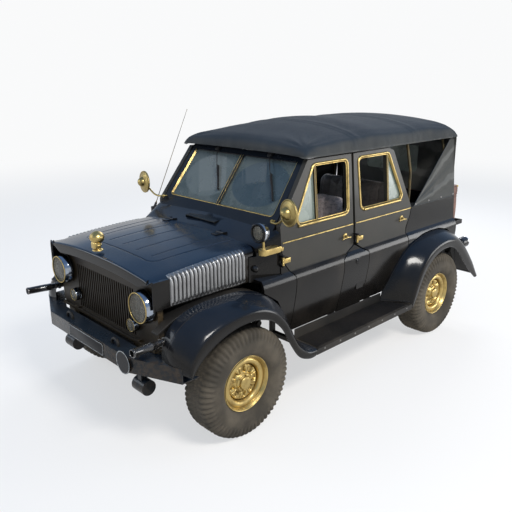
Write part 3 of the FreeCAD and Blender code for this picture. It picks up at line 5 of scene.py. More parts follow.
import bmesh
import bpy
import numpy as np
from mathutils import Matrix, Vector


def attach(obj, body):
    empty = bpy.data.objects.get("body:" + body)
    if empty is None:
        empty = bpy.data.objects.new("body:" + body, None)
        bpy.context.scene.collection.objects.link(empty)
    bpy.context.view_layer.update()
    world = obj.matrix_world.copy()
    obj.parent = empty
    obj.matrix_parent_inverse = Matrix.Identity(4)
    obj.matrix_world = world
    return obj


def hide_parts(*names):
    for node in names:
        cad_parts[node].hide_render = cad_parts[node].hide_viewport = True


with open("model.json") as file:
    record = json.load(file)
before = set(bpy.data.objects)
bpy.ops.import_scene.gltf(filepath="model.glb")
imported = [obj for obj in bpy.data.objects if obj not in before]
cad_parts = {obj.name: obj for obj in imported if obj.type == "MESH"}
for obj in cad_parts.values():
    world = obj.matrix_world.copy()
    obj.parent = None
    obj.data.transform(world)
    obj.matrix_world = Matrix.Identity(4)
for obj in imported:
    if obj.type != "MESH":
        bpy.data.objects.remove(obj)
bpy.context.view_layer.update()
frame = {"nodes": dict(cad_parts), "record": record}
nodes = frame["nodes"]

# Frame, axles, springs, engine block, gearbox and tanks
# Pressed and cast steel under the body, painted black or left as cast, dulled by road dust.
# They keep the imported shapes, merged and with their sharp edges rounded.


class Value:
    """One shader value: the operators add Math nodes, so shader maths reads as an expression."""

    def __init__(self, finish, socket):
        self.finish = finish
        self.socket = socket

    def __add__(self, other):
        return self.finish.math("ADD", self, other)

    def __radd__(self, other):
        return self.finish.math("ADD", other, self)

    def __sub__(self, other):
        return self.finish.math("SUBTRACT", self, other)

    def __rsub__(self, other):
        return self.finish.math("SUBTRACT", other, self)

    def __mul__(self, other):
        return self.finish.math("MULTIPLY", self, other)

    def __rmul__(self, other):
        return self.finish.math("MULTIPLY", other, self)

    def __truediv__(self, other):
        return self.finish.math("DIVIDE", self, other)

    def __pow__(self, other):
        return self.finish.math("POWER", self, other)


class Finish:
    """A material being built. node() adds any node, and put() sets or links the shader's own sockets."""

    def __init__(self, name, **sockets):
        self.material = bpy.data.materials.new(name)
        self.material.use_nodes = True
        self.tree = self.material.node_tree
        self.shader = self.tree.nodes["Principled BSDF"]
        self.where = self.node("TexCoord", output="Object")
        self.put(**sockets)

    def plug(self, node, key, value):
        """Links a Value to a node's socket, or writes a plain value there."""
        if isinstance(value, Value):
            self.tree.links.new(value.socket, node.inputs[key])
        else:
            node.inputs[key].default_value = value

    def put(self, **sockets):
        """Sets or links the shader's own sockets, named with underscores for spaces."""
        for key, value in sockets.items():
            self.plug(self.shader, key.replace("_", " "), value)

    def node(self, kind, settings=None, inputs=None, output=0):
        """Any shader node: its settings first, then its sockets, and the Value of one output."""
        made = self.tree.nodes.new("ShaderNode" + kind)
        for key, value in (settings or {}).items():
            setattr(made, key, value)
        for key, value in (inputs or {}).items():
            self.plug(made, key, value)
        return Value(self, made.outputs[output])

    def math(self, operation, *values):
        """Result of a Math node."""
        return self.node("Math", {"operation": operation}, dict(enumerate(values)))

    def axis(self, name, vector=None):
        """X, Y or Z of a vector, or of the object's own place."""
        return self.node("SeparateXYZ", None, {0: vector or self.where}, "XYZ".index(name))

    def noise(self, scale, detail=4.0, stretch=(1, 1, 1), vector=None):
        """Noise of about scale blobs to the metre, drawn out along the axes by the stretch."""
        sides = tuple(1 / share for share in stretch)
        place = self.node("VectorMath", {"operation": "MULTIPLY"}, {0: vector or self.where, 1: sides})
        return self.node("TexNoise", None, {"Vector": place, "Scale": scale, "Detail": detail})

    def step(self, value, low, high):
        """0 below low, 1 above high and smooth between."""
        inputs = {"Value": value, "From Min": low, "From Max": high}
        return self.node("MapRange", {"interpolation_type": "SMOOTHSTEP"}, inputs)

    def mix(self, share, first, second):
        """Colour between first and second at the share."""
        return self.node("Mix", {"data_type": "RGBA"}, {0: share, 6: first, 7: second}, 2)

    def relief(self, height, depth):
        """Bump whose height of 1 stands depth metres proud."""
        return self.node("Bump", None, {"Height": height, "Distance": depth, "Strength": 1.0})

    def upward(self):
        """1 on faces that look up, 0 on upright and lower ones."""
        normal = self.node("NewGeometry", output="Normal")
        return self.step(self.axis("Z", normal), 0.1, 0.9)


DUST = (0.13, 0.108, 0.082, 1)


def painted(name, colour, roughness, dust=0.3, coat=0.0, worn=(0.3, 0.24, 0.17, 1), wear=0.0, grain=0.00003,
            top=None, shine=0.3):
    """Paint with settling dust: share = dust * (top faces + low places) * noise, and colour = mix of both.

    Faces that look upwards take the top colour, where one is given: a painted reflection of the deep blue sky
    in the gloss.
    """
    made = Finish(name, Coat_Weight=coat, Coat_Roughness=0.06, Specular_IOR_Level=shine)
    blotch = made.noise(2.2, 5)
    speck = made.noise(90, 3)
    low = 1 - made.step(made.axis("Z"), 0.15, 0.95)
    share = (made.upward() * 0.5 + low * 0.8 + 0.12) * made.step(blotch, 0.3, 0.75) * dust
    # Painted reflection: faces that look up take the top colour, the blue of the sky in the gloss.
    base = made.mix(made.upward(), colour, top) if top else colour
    pale = tuple(1.5 * c + 0.004 for c in colour[:3]) + (1,)
    tone = made.mix(made.step(speck, 0.3, 0.8) * 0.25, base, pale)
    if wear:
        edge = made.step(made.node("NewGeometry", output="Pointiness"), 0.515, 0.56)
        tone = made.mix(edge * made.step(made.noise(34, 4), 0.4, 0.6) * wear, tone, worn)
    made.put(Base_Color=made.mix(share, tone, DUST))
    made.put(Roughness=share * 0.9 + made.noise(14, 5) * 0.1 + (roughness - 0.05))
    made.put(Normal=made.relief(speck, grain))
    return made.material


def cast(name, colour):
    """Rough cast metal with oily dark patches: bump = two sizes of noise."""
    made = Finish(name, Metallic=0.6)
    grain = made.noise(220, 4)
    oil = made.step(made.noise(7, 5), 0.45, 0.62)
    made.put(Base_Color=made.mix(oil, colour, (0.018, 0.016, 0.014, 1)))
    made.put(Roughness=0.75 - oil * 0.35, Normal=made.relief(grain + made.noise(40) * 2, 0.0004))
    return made.material


def finish_mesh(piece, material, body, stands_for=(), corner=0.6):
    """Every piece gets its material, its sharp corners marked, and its place on a body of the car."""
    piece.data.materials.clear()
    piece.data.materials.append(material)
    piece.data.shade_smooth()
    piece.data.set_sharp_from_angle(angle=corner)
    bpy.context.scene.collection.objects.link(piece)
    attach(piece, body)
    if stands_for:
        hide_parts(*stands_for)
    return piece


def body_of_node(name):
    """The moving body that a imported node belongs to."""
    groups = frame["record"]["behaviour"]["bodies"]
    return next(body for body, members in groups.items() if name in members)


def rounded_edges(piece, width, segments=2):
    """The piece with a bevel of the width on its sharp edges."""
    bevel = piece.modifiers.new("edge", "BEVEL")
    bevel.width = width
    bevel.segments = segments
    bevel.limit_method = "ANGLE"
    bevel.angle_limit = 0.6
    bevel.harden_normals = False
    return piece


def dressed(node, material, width=0.002, drop=None, move=None):
    """The node's own surface, merged into one skin, with its sharp edges rounded.

    Points for which drop(x, y, z) is true are left out, where better pieces stand in their place, and
    move(x, y, z) gives the place of a point whose outline the scene's own piece has truer.
    """
    mesh = nodes[node].data.copy()
    if "custom_normal" in mesh.attributes:
        mesh.attributes.remove(mesh.attributes["custom_normal"])
    work = bmesh.new()
    work.from_mesh(mesh)
    bmesh.ops.remove_doubles(work, verts=work.verts, dist=1e-5)
    if drop:
        away = [vertex for vertex in work.verts if drop(*vertex.co)]
        bmesh.ops.delete(work, geom=away, context="VERTS")
    if move:
        for vertex in work.verts:
            vertex.co = move(*vertex.co)
    bmesh.ops.dissolve_limit(work, angle_limit=0.01, verts=work.verts, edges=work.edges)
    work.to_mesh(mesh)
    work.free()
    piece = finish_mesh(bpy.data.objects.new(node + "_dressed", mesh), material, body_of_node(node),
                        [node])
    return rounded_edges(piece, width) if width else piece


chassis_paint = painted("chassis_paint", (0.009, 0.0085, 0.008, 1), 0.45, dust=0.3, shine=0.2)
cast_iron = cast("cast_iron", (0.06, 0.058, 0.055, 1))
engine_iron = cast("engine_iron", (0.1, 0.105, 0.1, 1))
pipe_steel = cast("pipe_steel", (0.16, 0.11, 0.08, 1))
for node in ("frame_rails", "leaf_springs", "fuel_tanks", "floor_pan", "inner_wings", "seat_frames"):
    dressed(node, chassis_paint, 0.0015)
for node in ("front_axle", "rear_axle", "drivetrain", "knuckle_left", "knuckle_right"):
    dressed(node, cast_iron, 0.003)
dressed("engine", engine_iron, 0.006)
dressed("exhaust", pipe_steel, 0.0)

# Wheels
# Pressed steel wheels painted brass gold, with a rolled flange, a bulged ring and eight pairs of
# short ribs round a capped hub. They carry cross-country tyres with sixty lugs on each shoulder.


def smooth(points, count):
    """Curve through the points, as even steps along it: Catmull-Rom, p(t) of four neighbours each."""
    p = np.asarray(points, float)
    ends = np.concatenate([[2 * p[0] - p[1]], p, [2 * p[-1] - p[-2]]])
    t = np.linspace(0, 1, 24, endpoint=False)[:, None]
    a, b, c, d = (ends[k:len(ends) - 3 + k, None] for k in range(4))
    line = 0.5 * (2 * b + (c - a) * t + (2 * a - 5 * b + 4 * c - d) * t**2 + (3 * b - a - 3 * c + d) * t**3)
    line = np.concatenate([line.reshape(-1, p.shape[1]), p[-1:]])
    along = np.concatenate([[0], np.cumsum(np.linalg.norm(np.diff(line, axis=0), axis=1))])
    steps = np.linspace(0, along[-1], count)
    return np.stack([np.interp(steps, along, line[:, k]) for k in range(p.shape[1])], 1)


def ease(value, low, high):
    """0 below low, 1 above high: t * t * (3 - 2 t)."""
    t = np.clip((value - low) / (high - low), 0, 1)
    return t * t * (3 - 2 * t)


def net(points, round_u=False, round_v=False):
    """Vertices and four-sided faces of a grid of points [u, v], closed on itself where asked."""
    nu, nv = points.shape[:2]
    u = np.arange(nu if round_u else nu - 1)[:, None]
    v = np.arange(nv if round_v else nv - 1)[None, :]
    a, b = u * nv + v, (u + 1) % nu * nv + v
    c, d = (u + 1) % nu * nv + (v + 1) % nv, u * nv + (v + 1) % nv
    return points.reshape(-1, 3), np.stack([a, b, c, d], -1).reshape(-1, 4).tolist()


def normals(points):
    """Unit normals of a grid: the cross product of its two directions."""
    out = np.cross(np.gradient(points, axis=0), np.gradient(points, axis=1))
    return out / np.maximum(np.linalg.norm(out, axis=2, keepdims=True), 1e-12)


def shell(points, thickness, round_u=False):
    """Closed plate from a grid: outer points, inner points = outer - normal * thickness, and rims."""
    inner = points - normals(points) * thickness
    vertices, faces = net(np.concatenate([points, inner[:, ::-1]], 1), round_u, True)
    if not round_u:
        rows, wide = points.shape[0], 2 * points.shape[1]
        for row, turn in ((0, 1), (rows - 1, -1)):
            ring = [row * wide + k for k in range(wide)]
            half = wide // 2
            for k in range(half - 1):
                faces.append([ring[k + 1], ring[k], ring[wide - 1 - k], ring[wide - 2 - k]][::-turn])
    return vertices, faces


def flipped(parts):
    """The parts mirrored to the other side of the car, with their faces turned back outwards."""
    return [(np.asarray(points) * (-1, 1, 1), [face[::-1] for face in faces]) for points, faces in parts]


def both(parts):
    """The parts and their mirror images."""
    return parts + flipped(parts)


def made_of(name, parts, material, body, stands_for=(), corner=0.6, closed=True):
    """One piece from parts of (vertices, faces); doubles are merged and normals turned outwards."""
    vertices, faces, count = [], [], 0
    for points, part in parts:
        vertices += np.asarray(points, float).reshape(-1, 3).tolist()
        faces += [[count + k for k in face] for face in part]
        count = len(vertices)
    mesh = bpy.data.meshes.new(name)
    mesh.from_pydata(vertices, [], faces)
    work = bmesh.new()
    work.from_mesh(mesh)
    bmesh.ops.remove_doubles(work, verts=work.verts, dist=2e-6)
    bmesh.ops.dissolve_degenerate(work, edges=work.edges, dist=1e-7)
    if closed:
        bmesh.ops.recalc_face_normals(work, faces=work.faces)
    work.to_mesh(mesh)
    work.free()
    return finish_mesh(bpy.data.objects.new(name, mesh), material, body, stands_for, corner)


def turned(profile, centre, count=64, axis=(1, 0, 0)):
    """Profile of (along, radius) carried round an axis through the centre."""
    profile = np.asarray(profile, float)
    way = np.asarray(axis, float) / np.linalg.norm(axis)
    side = np.cross(way, (0, 0, 1) if abs(way[2]) < 0.9 else (0, 1, 0))
    side /= np.linalg.norm(side)
    up = np.cross(way, side)
    turn = np.linspace(0, 2 * math.pi, count, endpoint=False)[:, None, None]
    rim = side * np.cos(turn) + up * np.sin(turn)
    return np.asarray(centre) + way * profile[None, :, :1] + rim * profile[None, :, 1:]


WHEEL_X, AXLE_Y, AXLE_Z = 0.79, 1.19, 0.374
LUGS = 60
TYRE_OUT = [(0.074, 0.1815), (0.083, 0.194), (0.1, 0.211), (0.1135, 0.24), (0.118, 0.27), (0.1165, 0.296),
            (0.1115, 0.322), (0.104, 0.346), (0.093, 0.3625), (0.074, 0.3695), (0.04, 0.3728), (0, 0.374)]


def tyre_grid(count=LUGS * 7):
    """Tyre surface: p(turn, s) = section(s) - depth(turn, s) * normal, depth from lugs, grooves and rings."""
    half = smooth(TYRE_OUT, 24)
    section = np.concatenate([half, half[-2::-1] * (-1, 1)])
    grid = turned(section, (0, 0, 0), count)
    turn = np.linspace(0, 2 * math.pi, count, endpoint=False)[:, None]
    x, r = section[None, :, 0], section[None, :, 1]
    side = np.sign(x) * 0.5
    wave = np.sin(LUGS * turn + side * math.pi + 5 * (r - 0.36) * np.sign(x))
    gap = ease(-wave, -0.1, 0.35)
    shoulder = ease(r, 0.302, 0.318) * ease(np.abs(x), 0.052, 0.06)
    zigzag = 0.006 * (2 / math.pi) * np.arcsin(np.sin(LUGS * turn))
    grooves = sum(ease(-np.abs(x - middle - zigzag), -0.005, -0.0025) for middle in (-0.034, 0, 0.034))
    depth = 0.008 * gap * shoulder + 0.007 * np.clip(grooves, 0, 1) * ease(r, 0.365, 0.37) * (1 - shoulder)
    wall = ease(r, 0.232, 0.238) * (1 - ease(r, 0.284, 0.29))
    depth = depth + 0.0007 * wall * (0.5 + 0.5 * np.sin(LUGS * 2 * turn))
    rings = sum(np.exp(-((r - at) / 0.0016) ** 2) for at in (0.3, 0.226, 0.203))
    depth = depth + 0.0012 * (1 - np.clip(rings, 0, 1)) * (1 - ease(r, 0.3, 0.31))
    return grid - normals(grid) * depth[..., None]


def rim_grid(count=176):
    """Wheel face: x = profile(r) + ribs(r, turn) - windows(r, turn)."""
    line = smooth([(0.086, 0.1905), (0.0915, 0.1915), (0.092, 0.188), (0.0895, 0.1845), (0.078, 0.181),
                   (0.067, 0.176), (0.067, 0.17), (0.073, 0.16), (0.0745, 0.149), (0.069, 0.137),
                   (0.055, 0.129), (0.04, 0.1265), (0.038, 0.1245), (0.046, 0.1215), (0.05, 0.115),
                   (0.049, 0.09), (0.049, 0.07), (0.054, 0.063), (0.061, 0.06), (0.063, 0.052),
                   (0.066, 0.0475), (0.077, 0.045), (0.083, 0.038), (0.087, 0.02), (0.088, 0.0)], 73)
    grid = turned(line, (0, 0, 0), count)
    turn = np.linspace(0, 2 * math.pi, count, endpoint=False)[:, None]
    r = line[None, :, 1]
    sector = (turn * 8 / (2 * math.pi)) % 1
    band = ease(r, 0.07, 0.074) * (1 - ease(r, 0.112, 0.116))
    rib = sum(ease(-np.abs(sector - middle) * r * 0.785, -0.0058, -0.0034) for middle in (0.37, 0.63))
    pit = ease(-np.minimum(sector, 1 - sector) * r * 0.785, -0.0185, -0.0145)
    grid[..., 0] += band * (0.006 * np.clip(rib, 0, 1) - 0.013 * pit)
    return grid


def rubber():
    """Dusty tyre rubber: colour = black rubber to dry mud by noise, and near black in the hollows of the
    grooves as painted shade.
    """
    made = Finish("tyre_rubber", Specular_IOR_Level=0.3)
    mud = made.step(made.noise(5, 6), 0.32, 0.72)
    fine = made.noise(160, 4)
    shade = made.mix(mud * 0.75 + fine * 0.25, (0.028, 0.024, 0.018, 1), (0.1, 0.083, 0.06, 1))
    # Painted shade: the hollows of the tread turn near black.
    hollow = 1 - made.step(made.node("NewGeometry", output="Pointiness"), 0.44, 0.52)
    made.put(Base_Color=made.mix(hollow * 0.6, shade, (0.02, 0.018, 0.016, 1)), Roughness=0.82 + fine * 0.15)
    made.put(Normal=made.relief(fine + made.noise(35) * 2, 0.00035))
    return made.material


def gold(name, colour=(0.5, 0.37, 0.14, 1), roughness=0.26):
    """Aged brass: polished metal with darker tarnish in patches and fine scratches in the roughness."""
    made = Finish(name, Metallic=1.0)
    tarnish = made.step(made.noise(18, 6), 0.42, 0.72)
    fine = made.noise(260, 3)
    hollow = 1 - made.step(made.node("NewGeometry", output="Pointiness"), 0.42, 0.51)
    shade = made.mix(tarnish * 0.55 + fine * 0.1, colour, (0.22, 0.155, 0.065, 1))
    made.put(Base_Color=made.mix(hollow * 0.75, shade, (0.07, 0.05, 0.025, 1)))
    made.put(Roughness=tarnish * 0.25 + fine * 0.14 + roughness, Normal=made.relief(fine, 0.00005))
    return made.material


tyre_rubber = rubber()
brass = gold("brass")
BARREL = [(-0.092, 0.1915), (-0.086, 0.192), (-0.081, 0.18), (-0.05, 0.18), (-0.036, 0.164), (0.036, 0.164),
          (0.05, 0.178), (0.07, 0.179), (0.076, 0.19), (0.084, 0.1925), (0.0885, 0.186), (0.078, 0.176),
          (0.05, 0.172), (0.036, 0.158), (-0.036, 0.158), (-0.05, 0.174), (-0.088, 0.174)]
DRUM = [(-0.07, 0.09), (-0.07, 0.146), (-0.05, 0.146), (-0.048, 0.143), (-0.01, 0.143), (-0.006, 0.12),
        (0.02, 0.06), (0.03, 0.05), (0.03, 0.026), (-0.04, 0.026), (-0.04, 0.06), (-0.056, 0.09)]
tread = tyre_grid()
liner = turned([(-0.074, 0.1815), (-0.05, 0.1812), (0.05, 0.1812), (0.074, 0.1815)], (0, 0, 0), len(tread))
tyre_parts = [net(np.concatenate([tread, liner[:, 1:-1]], 1), True, True)]
face = rim_grid()
FACE_THICKNESS, WINDOWS_FROM, WINDOWS_TO = 0.0035, 0.064, 0.122
face_radius = np.hypot(face[0, :, 1], face[0, :, 2])
in_windows = (face_radius > WINDOWS_FROM) & (face_radius < WINDOWS_TO)
every_third = np.arange(len(face_radius)) % 3 == 1
face_back = (face - normals(face) * FACE_THICKNESS)[:, in_windows | every_third]
face_parts = [net(np.concatenate([face, face_back[:, ::-1]], 1), True, True)]
barrel_parts = [net(turned(BARREL, (0, 0, 0), 96), True, True)]
nuts = []
for k in range(6):
    spot = (0.063, 0.0545 * math.cos(k * math.pi / 3 + 0.3), 0.0545 * math.sin(k * math.pi / 3 + 0.3))
    nuts.append(net(turned([(-0.006, 0), (-0.006, 0.0065), (0.005, 0.0065), (0.007, 0.0055), (0.007, 0)],
                           spot, 6), True))
for end, y in (("front", -AXLE_Y), ("rear", AXLE_Y)):
    for side, turn in (("left", 1), ("right", -1)):
        body = "wheel_%s_%s" % (end, side)
        place = np.array((WHEEL_X * turn, y, AXLE_Z))

        def set_on(parts, turn=turn, place=place):
            """The parts of a left wheel, mirrored for the right side and moved to this wheel's place."""
            parts = parts if turn > 0 else flipped(parts)
            return [(np.asarray(points) + place, faces) for points, faces in parts]

        made_of("tyre_%s_%s_tread" % (end, side), set_on(tyre_parts), tyre_rubber, body,
                ["tyre_%s_%s" % (end, side)], 1.2)
        made_of("wheel_%s_%s_face" % (end, side), set_on(face_parts + barrel_parts + nuts), brass, body,
                ["rim_%s_%s" % (end, side)], 0.9)
        made_of("wheel_%s_%s_drum" % (end, side), set_on([net(turned(DRUM, (0, 0, 0), 72), True, True)]),
                cast_iron, body)

# Wings
# Wide pressed steel wings in gloss black, with a crowned top, an upright outer flange and a wire
# rolled into its edge. A rubber welt closes the joint where each wing is bolted to the body.

# Side lines of each wing in millimetres: crest, joint with the body and lower edge, as y, z, y, z, y, z
FRONT_WING = [(-545, 420, -545, 420, -545, 376), (-640, 440, -600, 470, -625, 376),
              (-730, 520, -655, 560, -735, 430), (-800, 640, -715, 690, -835, 570),
              (-860, 740, -790, 800, -905, 690), (-960, 837, -910, 890, -1000, 778),
              (-1085, 895, -1060, 940, -1110, 822), (-1200, 908, -1200, 953, -1200, 832),
              (-1320, 903, -1340, 954, -1305, 827), (-1440, 884, -1475, 944, -1422, 797),
              (-1555, 840, -1590, 908, -1530, 745), (-1635, 772, -1665, 850, -1602, 692),
              (-1676, 700, -1708, 770, -1645, 648), (-1684, 645, -1718, 690, -1662, 622),
              (-1682, 622, -1716, 645, -1668, 610)]
REAR_WING = [(700, 420, 560, 420, 715, 376), (722, 510, 600, 540, 775, 470), (775, 636, 670, 700, 840, 590),
             (845, 745, 780, 835, 905, 680), (940, 825, 900, 895, 990, 752),
             (1060, 873, 1050, 930, 1085, 798), (1200, 893, 1200, 940, 1200, 818),
             (1330, 888, 1350, 935, 1320, 808), (1440, 862, 1480, 905, 1415, 765),
             (1540, 805, 1590, 835, 1500, 690), (1641, 712, 1680, 730, 1600, 590),
             (1774, 565, 1790, 570, 1725, 478), (1890, 400, 1900, 400, 1845, 385)]
LOWER_SIDE = [(0.700, 0.500), (0.734, 0.640), (0.760, 0.780), (0.772, 0.880), (0.766, 0.945), (0.744, 0.982)]
UPPER_SIDE = [(0.734, 0.988), (0.722, 1.200), (0.672, 1.760)]
side_line = np.concatenate([smooth(LOWER_SIDE, 60), np.array(UPPER_SIDE)])


def side(z):
    """Half width of the body at the height z."""
    return np.interp(z, side_line[:, 1], side_line[:, 0])


def tube(path, radius, sides=12, closed=False):
    """Round tube along a path: p = path + radius * (cos, sin) in a frame carried along without twist."""
    path = np.asarray(path, float)
    run = np.roll(path, -1, 0) - np.roll(path, 1, 0) if closed else np.gradient(path, axis=0)
    run /= np.linalg.norm(run, axis=1, keepdims=True)
    way = np.cross(run[0], (0.13, 0.21, 0.97))
    turn = np.linspace(0, 2 * math.pi, sides, endpoint=False)[:, None]
    rings = []
    for k, ahead in enumerate(run):
        way = way - ahead * way.dot(ahead)
        way /= np.linalg.norm(way)
        up = np.cross(ahead, way)
        r = radius[k] if np.ndim(radius) else radius
        rings.append(path[k] + r * (way * np.cos(turn) + up * np.sin(turn)))
    rings = np.array(rings)
    if closed:
        return net(rings, True, True)
    ends = [np.repeat(path[k][None, None], sides, 1) for k in (0, -1)]
    return net(np.concatenate([ends[0], rings, ends[1]]), False, True)


CREST_X, ROLL_X, LIP_X = 0.904, 0.929, 0.9255
WING_BULGE, WING_PLATE = 0.016, 0.0025


def wing_grid(stations, inner_x, outward, rows=96, across=26):
    """Wing surface [along, across]: seat, middle, crest, roll and lip points joined by smooth curves."""
    line = smooth(np.array(stations) / 1000, rows)
    crest, seat, lip = line[:, 0:2], line[:, 2:4], line[:, 4:6]
    run = np.gradient(crest, axis=0)
    run /= np.linalg.norm(run, axis=1, keepdims=True)
    out = np.stack([-run[:, 1], run[:, 0]], 1) * outward
    bulge = WING_BULGE * np.clip((crest[:, 1:] - 0.42) / 0.2, 0, 1)
    middle = seat + (crest - seat) * 0.42 + out * bulge
    roll = crest * 0.62 + lip * 0.38
    grid = []
    for k in range(rows):
        points = [(inner_x, *seat[k]), ((inner_x + CREST_X) / 2, *middle[k]), (CREST_X, *crest[k]),
                  (ROLL_X, *roll[k]), (LIP_X, *lip[k])]
        grid.append(smooth(points, across))
    return np.array(grid)


def joint_line(grid, height=0.0005):
    """Where each row of the wing passes out through the side of the body."""
    line = []
    for row in grid:
        beyond = np.nonzero(row[:, 0] > side(row[:, 2]) + height)[0]
        if len(beyond) and beyond[0] > 0:
            a, b = row[beyond[0] - 1], row[beyond[0]]
            gap_a, gap_b = a[0] - side(a[2]), b[0] - side(b[2])
            line.append(a + (b - a) * gap_a / (gap_a - gap_b))
    return np.array(line)


# Painted reflection: the body's faces that look up take a deep blue top colour, the sky in the gloss.
black = painted("body_black", (0.0045, 0.004, 0.0035, 1), 0.17, dust=0.1, coat=0.12,
                top=(0.005, 0.009, 0.016, 1), shine=0.15)
rubber_black = painted("rubber_black", (0.008, 0.008, 0.009, 1), 0.55, dust=0.12, shine=0.2)
for name, stations, inner_x, outward in (("front", FRONT_WING, 0.700, -1), ("rear", REAR_WING, 0.690, 1)):
    grid = wing_grid(stations, inner_x, outward)
    wing = shell(grid if outward > 0 else grid[:, ::-1], WING_PLATE)
    lip = grid[:, -1] - (0.001, 0, 0)
    parts = [wing, tube(lip[1:-1], 0.0045, 10)]
    for end in (1, -2):
        parts.append(tube(grid[end], 0.0035, 8))
    made_of(name + "_wing_panels", both(parts), black, "root", [name + "_wings"], 0.7)
    welt = joint_line(grid[4:-4])
    made_of(name + "_wing_welts", both([tube(welt, 0.0035, 8)]), rubber_black, "root")

# Running boards
# Steel boards with a folded edge, covered with a ribbed rubber mat and riveted along the edge.
BOARD_EDGE_X = 0.930


def block(low, high, radius=0.003, steps=2):
    """Box with rounded edges: rings of a rounded rectangle, drawn in over the radius at both ends."""
    low, high = np.minimum(low, high).astype(float), np.maximum(low, high).astype(float)
    radius = min(radius, *((high - low) / 2.01))
    rings = []
    angles = np.linspace(0, math.pi / 2, steps + 1)
    levels = [(low[2] + radius * (1 - math.sin(a)), radius * (1 - math.cos(a))) for a in angles[::-1]]
    levels += [(high[2] - radius * (1 - math.sin(a)), radius * (1 - math.cos(a))) for a in angles]
    for z, draw in levels:
        corner = radius - draw
        ring = []
        for k, (cx, cy) in enumerate(((high[0], high[1]), (low[0], high[1]), (low[0], low[1]),
                                      (high[0], low[1]))):
            mid = (cx - radius if cx > low[0] else cx + radius, cy - radius if cy > low[1] else cy + radius)
            for a in angles:
                turn = a + k * math.pi / 2
                ring.append((mid[0] + corner * math.cos(turn), mid[1] + corner * math.sin(turn), z))
        rings.append(ring)
    rings = np.array(rings)
    points, faces = net(rings, False, True)
    count = rings.shape[1]
    faces.append(list(range(count))[::-1])
    faces.append(list(range(len(points) - count, len(points))))
    return points, faces


def placed(part, at, turn=(0, 0, 0)):
    """The part turned about X, Y and Z in that order, in radians, and moved to a place."""
    points, faces = part
    for k, angle in enumerate(turn):
        a, b = (k + 1) % 3, (k + 2) % 3
        c, s = math.cos(angle), math.sin(angle)
        points = np.array(points, float)
        points[:, a], points[:, b] = c * points[:, a] - s * points[:, b], s * points[:, a] + c * points[:, b]
    return points + np.asarray(at, float), faces


dressed("running_boards", chassis_paint, 0.0015)
RIBS, RIB_FRONT, RIB_PITCH, RIB_HALF, RIB_LOW, RIB_TOP = 92, -0.513, 0.0125, 0.0036, 0.4235, 0.4275
RIB_INNER_X, RIB_OUTER_X, WING_FOOT_Y = 0.71, 0.912, 0.54
RIVETS, RIVET_FRONT, RIVET_PITCH, RIVET_Z = 7, -0.46, 0.18, 0.402
ribs, rivets = [], []
for k in range(RIBS):
    y = RIB_FRONT + RIB_PITCH * k
    inner = RIB_INNER_X if y < WING_FOOT_Y else RIB_INNER_X + (y - WING_FOOT_Y) * 1.65
    if inner < 0.905:
        ribs.append(block((inner, y - RIB_HALF, RIB_LOW), (RIB_OUTER_X, y + RIB_HALF, RIB_TOP), 0.0015, 1))
for k in range(RIVETS):
    spot = (BOARD_EDGE_X - 0.0005, RIVET_FRONT + RIVET_PITCH * k, RIVET_Z)
    rivets.append(net(turned([(-0.004, 0), (-0.004, 0.007), (0.0005, 0.0065), (0.0022, 0.004), (0.0028, 0)],
                             spot, 12), True))
SILL_X, SILL_FRONT, SILL_REAR, SILL_Z = 0.6965, -0.53, 0.548, 0.4955
sill = np.linspace((SILL_X, SILL_FRONT, SILL_Z), (SILL_X, SILL_REAR, SILL_Z), 8)
made_of("sill_seals", both([tube(sill, 0.0042, 8)]), rubber_black, "root")
made_of("running_board_ribs", both(ribs), rubber_black, "root")
steel = painted("worn_steel", (0.2, 0.19, 0.18, 1), 0.4, dust=0.3)
made_of("running_board_rivets", both(rivets), steel, "root")

# Bonnet
# One pressed steel lid in gloss black: crowned top with five long grooves inside an outline groove,
# round shoulders, side skirts and a lip folded down in front. It turns on two hinges on the cowl.
BONNET = [(-1.735, 1.146, 1.186), (-1.5, 1.172, 1.212), (-1.2, 1.192, 1.228), (-0.906, 1.2, 1.236)]
BONNET_FRONT, BONNET_REAR, SKIRT_REAR, SKIRT_X, SKIRT_Z = -1.735, -0.906, -0.961, 0.648, 0.966
LIP, FOLD = 0.066, 0.014
bonnet_rows = smooth(BONNET, 80)


def bonnet_section(y):
    """Half section of the bonnet at y as (x, z), from the middle out over the shoulder and down."""
    edge, crown = (np.interp(y, bonnet_rows[:, 0], bonnet_rows[:, k]) for k in (1, 2))
    x = SKIRT_X
    points = [(0, crown), (x * 0.25, crown - (crown - edge) * 0.055), (x * 0.5, edge + (crown - edge) * 0.78),
              (x * 0.78, edge + (crown - edge) * 0.36), (x - 0.044, edge), (x - 0.01, edge - 0.022),
              (x, edge - 0.06), (x, edge - 0.09), (x, SKIRT_Z)]
    return smooth(points, 400)


def at_x(line, x):
    """Height of the top of a half section at the given x, short of its shoulder."""
    top = line[:300]
    keep = np.concatenate([[True], np.diff(top[:, 0]) > 1e-6])
    return np.interp(x, top[keep, 0], top[keep, 1])


def bonnet_lines():
    """Half columns of the grid: x positions over the top, close together beside the grooves."""
    xs = set(np.round(np.arange(0, 0.36, 0.024), 4))
    for middle in (0.0, 0.17, 0.34):
        xs |= set(np.round(middle + np.arange(-0.0075, 0.0076, 0.0025), 4))
    xs |= set(np.round(np.arange(0.36, 0.4601, 0.003), 4))
    xs |= set(np.round(np.arange(0.475, 0.59, 0.016), 4))
    return np.array(sorted(x for x in xs if x >= 0))


